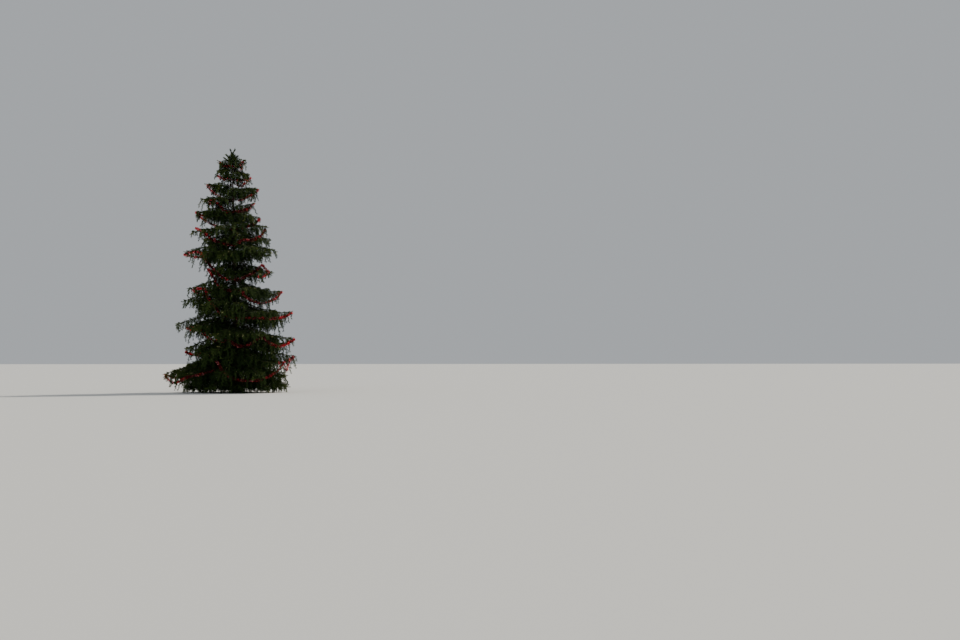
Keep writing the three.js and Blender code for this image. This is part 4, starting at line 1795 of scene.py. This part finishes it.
# Runs of the garland across the front, from the left to the right: x, z and share of the crown's reach
STRANDS: tuple[Strand, ...] = (
    ((-0.89, 11.35, 0.8), (-0.62, 11.12, 0.6), (-0.33, 11.05, 0.5), (0.01, 11.12, 0.5),
     (0.26, 11.35, 0.8)),
    ((-0.98, 10.66, 0.5), (-0.72, 10.5, 0.4), (-0.23, 10.4, 0.4), (0.31, 10.42, 0.6),
     (0.66, 10.56, 0.95)),
    ((-1.46, 10.16, 0.95), (-1.21, 9.8, 0.8), (-0.72, 9.5, 0.4), (-0.03, 9.42, 0.35), (0.55, 9.66, 0.5),
     (1.02, 10.0, 0.97)),
    ((-1.25, 9.4, 0.7), (-0.9, 9.15, 0.6), (-0.64, 8.82, 0.8), (-0.4, 8.76, 0.6), (-0.11, 8.8, 0.8),
     (0.16, 8.81, 0.8), (0.51, 9.01, 0.85), (0.8, 9.29, 0.97)),
    ((-2.0, 8.78, 0.97), (-1.66, 8.5, 0.7), (-1.25, 8.26, 0.5), (-0.53, 7.98, 0.36), (0.16, 8.03, 0.36),
     (0.75, 8.3, 0.45), (1.1, 8.55, 0.5)),
    ((-1.98, 8.04, 0.9), (-1.64, 7.88, 0.87), (-1.41, 7.6, 0.86), (-0.97, 7.3, 0.85),
     (-0.45, 7.16, 0.7), (-0.05, 7.2, 0.5), (0.21, 7.34, 0.84), (0.75, 7.42, 0.86), (1.09, 7.66, 0.9),
     (1.35, 8.02, 0.97)),
    ((-2.52, 6.72, 0.97), (-1.85, 6.82, 0.85), (-1.5, 6.5, 0.6), (-1.22, 6.1, 0.8), (-0.97, 5.82, 0.84),
     (-0.57, 5.52, 0.84), (-0.08, 5.47, 0.7), (0.41, 5.62, 0.84), (0.85, 5.87, 0.86), (1.18, 6.2, 0.9),
     (1.34, 6.08, 0.92), (1.52, 5.9, 0.92)),
    ((-1.4, 6.05, 0.5), (-1.11, 5.57, 0.8), (-0.82, 5.08, 0.84), (-0.33, 4.93, 0.62), (0.16, 4.89, 0.7),
     (0.51, 4.54, 0.84), (1.05, 4.35, 0.88), (1.54, 4.44, 0.92), (1.93, 4.68, 0.95), (2.17, 4.96, 0.97)),
    ((-2.1, 5.02, 0.6), (-1.56, 5.0, 0.82), (-1.36, 4.59, 0.84), (-1.11, 4.2, 0.84), (-0.72, 3.81, 0.6),
     (-0.08, 3.61, 0.55), (0.51, 3.61, 0.7), (1.1, 3.6, 0.86), (1.68, 3.58, 0.9), (2.32, 3.71, 0.95),
     (2.66, 3.92, 0.97)),
    ((-2.4, 3.18, 0.8), (-1.85, 3.1, 0.6), (-1.28, 2.62, 0.8), (-0.82, 2.48, 0.83), (-0.38, 2.53, 0.75),
     (0.01, 2.28, 0.84), (0.46, 2.28, 0.8), (1.0, 2.58, 0.84), (1.19, 2.73, 0.87), (1.44, 2.48, 0.9),
     (1.83, 2.28, 0.93), (2.32, 2.33, 0.95), (2.82, 2.62, 0.97)),
    ((-2.44, 1.98, 0.95), (-2.1, 1.86, 0.9), (-1.55, 1.95, 0.5), (-1.15, 1.8, 0.5), (-0.85, 1.42, 0.84),
     (-0.66, 1.1, 0.84), (-0.36, 0.84, 0.84), (-0.03, 0.66, 0.84), (0.46, 0.62, 0.84),
     (0.95, 0.62, 0.84), (1.34, 0.72, 0.86), (1.73, 0.9, 0.88), (2.05, 1.15, 0.92), (2.26, 1.42, 0.95),
     (2.4, 1.05, 0.95), (2.5, 1.42, 0.97), (2.74, 1.76, 0.97)),
    ((-3.4, 0.86, 0.97), (-3.14, 0.55, 0.97), (-2.86, 0.5, 0.95), (-2.29, 0.78, 0.9),
     (-1.8, 0.88, 0.86), (-1.02, 1.1, 0.84)),
)


@dataclass
class TinselGarland:
    """A garland of foil strips on a wire, wound down the crown from bough tip to bough tip.

    Attributes:
        strips_per_metre: Number of foil strips on a metre.
        strip_length: Length of a strip, so half of the garland's thickness.
        strip_width: Width of a strip.
        length_range: Shortest and longest strip, as shares of that.
        bulge: Length of the strips at its thinnest places, and how much longer they are at the fullest.
        tilt_noise: Unevenness of a strip's tilt along the garland.
        bend_noise: Unevenness of the twist from a strip's foot to its end.
        pale_share: Share of the strips that have the palest foil, which paints the garland's glints.
        pale_gain: Factor on that in the middle, and how much more it is at the crown's sides.
        glint_power: How sharply it glints.
        red_share: Share of the strips that have the vivid red foil, painted sheen where the light catches
            the garland.
        red_gain: The same two figures for that.
        sheen: Difference between its reddest and dullest places, and how far under none the dullest is.
        side_power: How near to the crown's sides those gains are, where the garland's painted glints and
            sheen stand for the light that catches it.
        upper_fullness: Share of the strips that its upper runs keep.
        upper_heights: Heights between which it gets thinner.
        back_share: How far out it lies behind the crown, as a share of the crown's reach.
        blend: Share of a run behind the crown over which it comes out to a bough's tip.
        swag: Distance between the boughs that hold it behind the crown.
        swag_points: Number of points on a swag.
        sag: How deep it hangs between them.
        sag_in: How far in it comes there, as a share of the sag.
        lowest: Lowest height behind the crown.
        depths: Furthest and nearest depth that is tried for a point in front, and the step between.
        wire_radius: Radius of its wire.
        step: Distance between the points of its line.
        curve_points: Number of points between two of its places.
        bulge_spacing: Distance between its fuller and thinner or duller places.
        glint_spacing: Distance between the places where it may glint.
        seed: Seed of the strips.
        crown: The boughs that hold it.
    """

    crown: CrownForm
    strips_per_metre: float = 430.0
    strip_length: float = 0.076
    strip_width: float = 0.014
    length_range: Pair = (0.75, 1.1)
    bulge: Pair = (0.82, 0.36)
    tilt_noise: float = 0.35
    bend_noise: float = 0.9
    pale_share: float = 1.3
    pale_gain: Pair = (0.4, 1.6)
    glint_power: int = 6
    red_share: float = 0.27
    red_gain: Pair = (0.25, 2.6)
    sheen: Pair = (1.8, 0.3)
    side_power: int = 4
    upper_fullness: float = 0.55
    upper_heights: Pair = (8.7, 9.7)
    back_share: float = 0.74
    blend: float = 0.12
    swag: float = 1.3
    swag_points: int = 4
    sag: float = 0.22
    sag_in: float = 0.3
    lowest: float = 0.2
    depths: tuple[float, float, float] = (3.0, -0.5, -0.05)
    wire_radius: float = 0.004
    step: float = 0.03
    curve_points: int = 24
    bulge_spacing: float = 0.17
    glint_spacing: float = 0.09
    seed: int = 77

    def _front(self, strand: Strand) -> list[Array]:
        """Points of a strand on the front of the crown.

        Args:
            strand: The strand, as seen from the front.

        Returns:
            Its points in space, as far towards the viewer as the boughs there hold it.
        """
        points = []
        for x, z, share in strand:
            offset = x - float(TRUNK.x(z))

            def excess(depth: float) -> float:
                """How far outside its place the garland would be.

                Args:
                    depth: Distance in front of the trunk.

                Returns:
                    The distance from its place, or 0 inside it.
                """
                azimuth = math.atan2(-depth, offset)
                place = min(float(self.crown.edge(z, azimuth)) * share, self.crown.hold(z, azimuth))
                return max(0.0, math.hypot(offset, depth) - place)

            depth = min(np.arange(*self.depths), key=excess)
            points.append(np.array([x, -depth, z]))
        return points

    def _behind(self, start: Array, end: Array) -> list[Array]:
        """Points of the run behind the crown between two strands.

        Args:
            start: The right end of the strand above.
            end: The left end of the strand below.

        Returns:
            Points with a sag between each two boughs that hold the garland.
        """
        runs = []
        for place in (start, end):
            offset = place[0] - float(TRUNK.x(place[2]))
            azimuth = math.atan2(place[1], offset)
            runs.append((azimuth, math.hypot(offset, place[1]) / float(self.crown.edge(place[2], azimuth))))
        (first, share_first), (last, share_last) = runs
        last = last if last > first else last + 2 * math.pi
        length = (last - first) * self.back_share * float(self.crown.edge(start[2], math.pi / 2))
        swags = max(2, round(length / self.swag))
        points = []
        for i in range(1, swags * self.swag_points):
            along = i / (swags * self.swag_points)
            azimuth = first + (last - first) * along
            held = start[2] + (end[2] - start[2]) * along
            sag = self.sag * math.sin(math.pi * ((i % self.swag_points) / self.swag_points))
            near = max(0.0, 1 - along / self.blend) * (share_first - self.back_share)
            near += max(0.0, 1 - (1 - along) / self.blend) * (share_last - self.back_share)
            reach = float(self.crown.edge(held, azimuth)) * (self.back_share + near)
            reach = min(reach, self.crown.hold(held - sag, azimuth)) - self.sag_in * sag
            x = float(TRUNK.x(held)) + reach * math.cos(azimuth)
            points.append(np.array([x, reach * math.sin(azimuth), max(held - sag, self.lowest)]))
        return points

    def path(self) -> Array:
        """The garland's whole line, evenly stepped.

        Returns:
            Its points.
        """
        corners: list[Array] = []
        for strand in STRANDS:
            front = self._front(strand)
            if corners:
                corners += self._behind(corners[-1], front[0])
            corners += front
        knots = np.array(corners)
        before = np.vstack([knots[:1], knots[:-1]])
        after = np.vstack([knots[1:], knots[-1:]])
        slope = (after - before) / 2
        dense = []
        for i in range(len(knots) - 1):
            t = np.linspace(0, 1, self.curve_points, endpoint=False)[:, None]
            h00, h10 = 2 * t**3 - 3 * t**2 + 1, t**3 - 2 * t**2 + t
            h01, h11 = -2 * t**3 + 3 * t**2, t**3 - t**2
            dense.append(h00 * knots[i] + h10 * slope[i] + h01 * knots[i + 1] + h11 * slope[i + 1])
        line = np.concatenate(dense)
        run = np.concatenate([[0], np.cumsum(np.linalg.norm(np.diff(line, axis=0), axis=1))])
        even = np.arange(0, run[-1], self.step)
        return np.stack([np.interp(even, run, line[:, k]) for k in range(3)], axis=1)

    def build(self) -> dict[str, Mesh]:
        """Makes the foil strips.

        Returns:
            Corners and triangles of the strips of each foil, by name.
        """
        line = self.path()
        total = (len(line) - 1) * self.step
        LOG.info("garland: %.1f m", total)
        random = np.random.default_rng(self.seed)
        count = int(total * self.strips_per_metre)
        at = np.sort(random.uniform(0, len(line) - 1.001, count))
        index = at.astype(int)
        part = (at - index)[:, None]
        centre = line[index] * (1 - part) + line[index + 1] * part
        tangent = unit(line[index + 1] - line[index])
        across = unit(np.cross(tangent, UP) + 1e-4)
        second = np.cross(tangent, across)
        outward = around(random.uniform(0, 2 * math.pi, count), across, second)
        aside = np.cross(tangent, outward)
        way = unit(outward + random.normal(0, self.tilt_noise, count)[:, None] * tangent)
        twist = random.uniform(0, math.pi, count)
        foot = around(twist, tangent, aside) * (self.strip_width / 2)
        twist = twist + random.normal(0, self.bend_noise, count)
        end = around(twist, tangent, aside) * (self.strip_width / 2)
        thin, fuller = self.bulge
        thickness = thin + fuller * self._waves(random, at * self.step, self.bulge_spacing)
        length = self.strip_length * thickness * random.uniform(*self.length_range, count)
        tip = centre + way * length[:, None]
        corners = np.stack([centre - foot, centre + foot, tip + end, tip - end], 1)
        made = {}
        masks = self._deal(random, centre, at * self.step)
        for name, mask in zip(FOIL_FINISHES, masks):
            some = corners[mask]
            quads = 4 * np.arange(len(some))[:, None]
            triangles = np.concatenate([quads + [0, 1, 2], quads + [0, 2, 3]])
            made[name] = (some.reshape(-1, 3), triangles)
        return made

    def _deal(self, random: np.random.Generator, centre: Array, run: Array) -> list[Array]:
        """Deals the strips out to the foils.

        Args:
            random: Source of the differences.
            centre: Where each strip starts.
            run: How far along the garland that is.

        Returns:
            Which strips have each foil: crimson with painted shade, red with painted sheen and bright with
                painted glints.
        """
        count = len(run)
        x = centre[:, 0] - TRUNK.x(centre[:, 2])
        side = (np.abs(x) / np.hypot(x, centre[:, 1])) ** self.side_power
        # Pale strips in short bursts, most at the crown's sides: painted glints.
        glint = self._waves(random, run, self.glint_spacing) ** self.glint_power
        middle, aside = self.pale_gain
        pale = random.uniform(0, 1, count) < self.pale_share * (middle + aside * side) * glint
        # Vivid red strips in waves along the garland, most at the crown's sides: painted sheen.
        most, under = self.sheen
        sheen = most * self._waves(random, run, self.bulge_spacing) - under
        middle, aside = self.red_gain
        red = random.uniform(0, 1, count) < self.red_share * (middle + aside * side) * sheen
        kept = np.interp(centre[:, 2], self.upper_heights, (1.0, self.upper_fullness))
        full = random.uniform(0, 1, count) < kept
        return [full & ~pale & ~red, full & ~pale & red, full & pale]

    @staticmethod
    def _waves(random: np.random.Generator, run: Array, spacing: float) -> Array:
        """Heights from 0 to 1 of uneven waves at places along the garland."""
        knots = random.uniform(0, 1, int(run.max() / spacing) + 2)
        return np.interp(run / spacing, np.arange(len(knots)), knots)

    def wire(self) -> TubeBatch:
        """Makes the wire inside the garland.

        Returns:
            A batch with the wire.
        """
        batch = TubeBatch()
        line = self.path()[::3]
        batch.add(line, np.full(len(line), self.wire_radius), 5)
        return batch


# Studio


FLOOR_FINISH = PlainFinish("pale_floor", (0.62, 0.62, 0.6), 0.9, specular=0.1)
SKY = (0.78, 0.82, 0.86, 1.0)
SKY_STRENGTH = 0.55
# Name, direction, strength, width in degrees and colour
LAMPS = (
    ("key", (-0.62, -0.36, -0.70), 3.6, 6.0, (1.0, 0.93, 0.82)),
    ("fill", (0.45, 0.80, -0.40), 0.5, 40.0, (0.9, 0.95, 1.0)),
)


@dataclass
class Studio:
    """Plain floor, soft lights and the camera at the photograph's viewing angle.

    Attributes:
        width: Width of the picture in pixels.
        height: Height of the picture in pixels.
        foot: Where the trunk's foot is in the picture, in pixels.
        tall: Height of the tree in the picture, in pixels.
        eye: Height of the camera above the ground.
        lens: Focal length in millimetres.
        sensor: Width of the sensor in millimetres.
    """

    width: float = 960.0
    height: float = 640.0
    foot: Pair = (236.7, 392.5)
    tall: float = 244.5
    eye: float = 1.6
    lens: float = 50.0
    sensor: float = 36.0

    def camera(self) -> None:
        """Sets the camera up."""
        focal = self.lens / self.sensor * self.width
        depth = focal * TRUNK.tree_height / self.tall
        yaw = math.atan((self.width / 2 - self.foot[0]) / focal)
        distance = depth / math.cos(yaw)
        horizon = self.foot[1] - focal * self.eye / depth
        pitch = math.atan((horizon - self.height / 2) / focal)
        data = bpy.data.cameras.new("camera")
        data.lens = self.lens
        data.sensor_width = self.sensor
        data.clip_end = 1000.0
        camera = bpy.data.objects.new("camera", data)
        bpy.context.scene.collection.objects.link(camera)
        camera.location = (0.0, -distance, self.eye)
        way = Vector((math.sin(yaw) * math.cos(pitch), math.cos(yaw) * math.cos(pitch), math.sin(pitch)))
        camera.rotation_euler = way.to_track_quat("-Z", "Y").to_euler()
        bpy.context.scene.camera = camera

    def floor(self) -> None:
        """Lays the floor."""
        select_none()
        bpy.ops.mesh.primitive_plane_add(size=900.0, location=(0.0, 0.0, -0.002))
        plane = bpy.context.object
        plane.name = plane.data.name = "floor"
        plane.data.materials.append(FLOOR_FINISH.material())

    def lights(self) -> None:
        """Sets a soft sky, a key light from behind on the right and a weak one from the front."""
        world = bpy.data.worlds.new("studio")
        bpy.context.scene.world = world
        world.use_nodes = True
        background = world.node_tree.nodes["Background"]
        background.inputs["Color"].default_value = SKY
        background.inputs["Strength"].default_value = SKY_STRENGTH
        for name, way, energy, angle, colour in LAMPS:
            data = bpy.data.lights.new(name, "SUN")
            data.energy = energy
            data.angle = math.radians(angle)
            data.color = colour
            lamp = bpy.data.objects.new(name, data)
            lamp.rotation_euler = Vector(way).to_track_quat("-Z", "Y").to_euler()
            bpy.context.scene.collection.objects.link(lamp)


# Putting it together


def dress(
    piece: bpy.types.Object, material: bpy.types.Material, nodes: Iterable[str] = ()
) -> None:
    """Gives a piece its finish and ties it to the frame.

    Args:
        piece: The piece.
        material: Its finish.
        nodes: Nodes of the frame that it stands for.
    """
    piece.data.materials.clear()
    piece.data.materials.append(material)
    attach(piece, BODY)
    if nodes:
        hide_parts(*nodes)
    LOG.info("%s: %d triangles", piece.name, sum(len(p.vertices) - 2 for p in piece.data.polygons))


def main() -> None:
    """Builds the pieces in order."""
    logging.basicConfig(level=logging.INFO, format="%(name)s %(message)s")
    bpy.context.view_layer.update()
    masses = [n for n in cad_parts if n.startswith("foliage")]
    limbs = [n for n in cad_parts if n.startswith("bough")]

    studio = Studio()
    studio.camera()
    studio.floor()
    studio.lights()

    bark = BarkFinish().material()
    trunk = BarkTrunk().build()
    dress(trunk, bark, ["trunk"])

    foliage = Foliage(CrownForm())
    foliage.grow()
    dress(foliage.boughs.piece("boughs", smooth=True), BOUGH_BARK.material(), limbs)
    twig_finish = TWIG_FINISH.material()
    dress(foliage.branches.piece("side_branches", smooth=True), twig_finish, masses)
    dress(mesh_piece("tassel_stems", *foliage.tassel_mesh()), twig_finish, masses)
    dress(mesh_piece("shoot_twigs", *foliage.shoot_mesh()), twig_finish, masses)
    random = np.random.default_rng(NEEDLE_SEED)
    tones = foliage.tones()
    for number, tone in enumerate(Tone):
        finish = NEEDLE_FINISHES[tone].material()
        corners, triangles = foliage.needles.mesh(foliage.book, np.flatnonzero(tones == number), random)
        parts = math.ceil(len(triangles) / MOST_TRIANGLES)
        size = math.ceil(len(triangles) / parts)
        for part in range(parts):
            some = corners[3 * size * part : 3 * size * (part + 1)]
            faces = np.arange(len(some)).reshape(-1, 3)
            piece = mesh_piece(f"needles_{tone.value}_{part + 1}", some, faces)
            dress(piece, finish, masses)

    garland = TinselGarland(foliage.crown)
    for name, mesh in garland.build().items():
        dress(mesh_piece(name, *mesh), FOIL_FINISHES[name].material())
    dress(garland.wire().piece("garland_wire", smooth=True), WIRE_FINISH.material())


if __name__ == "__main__":
    main()
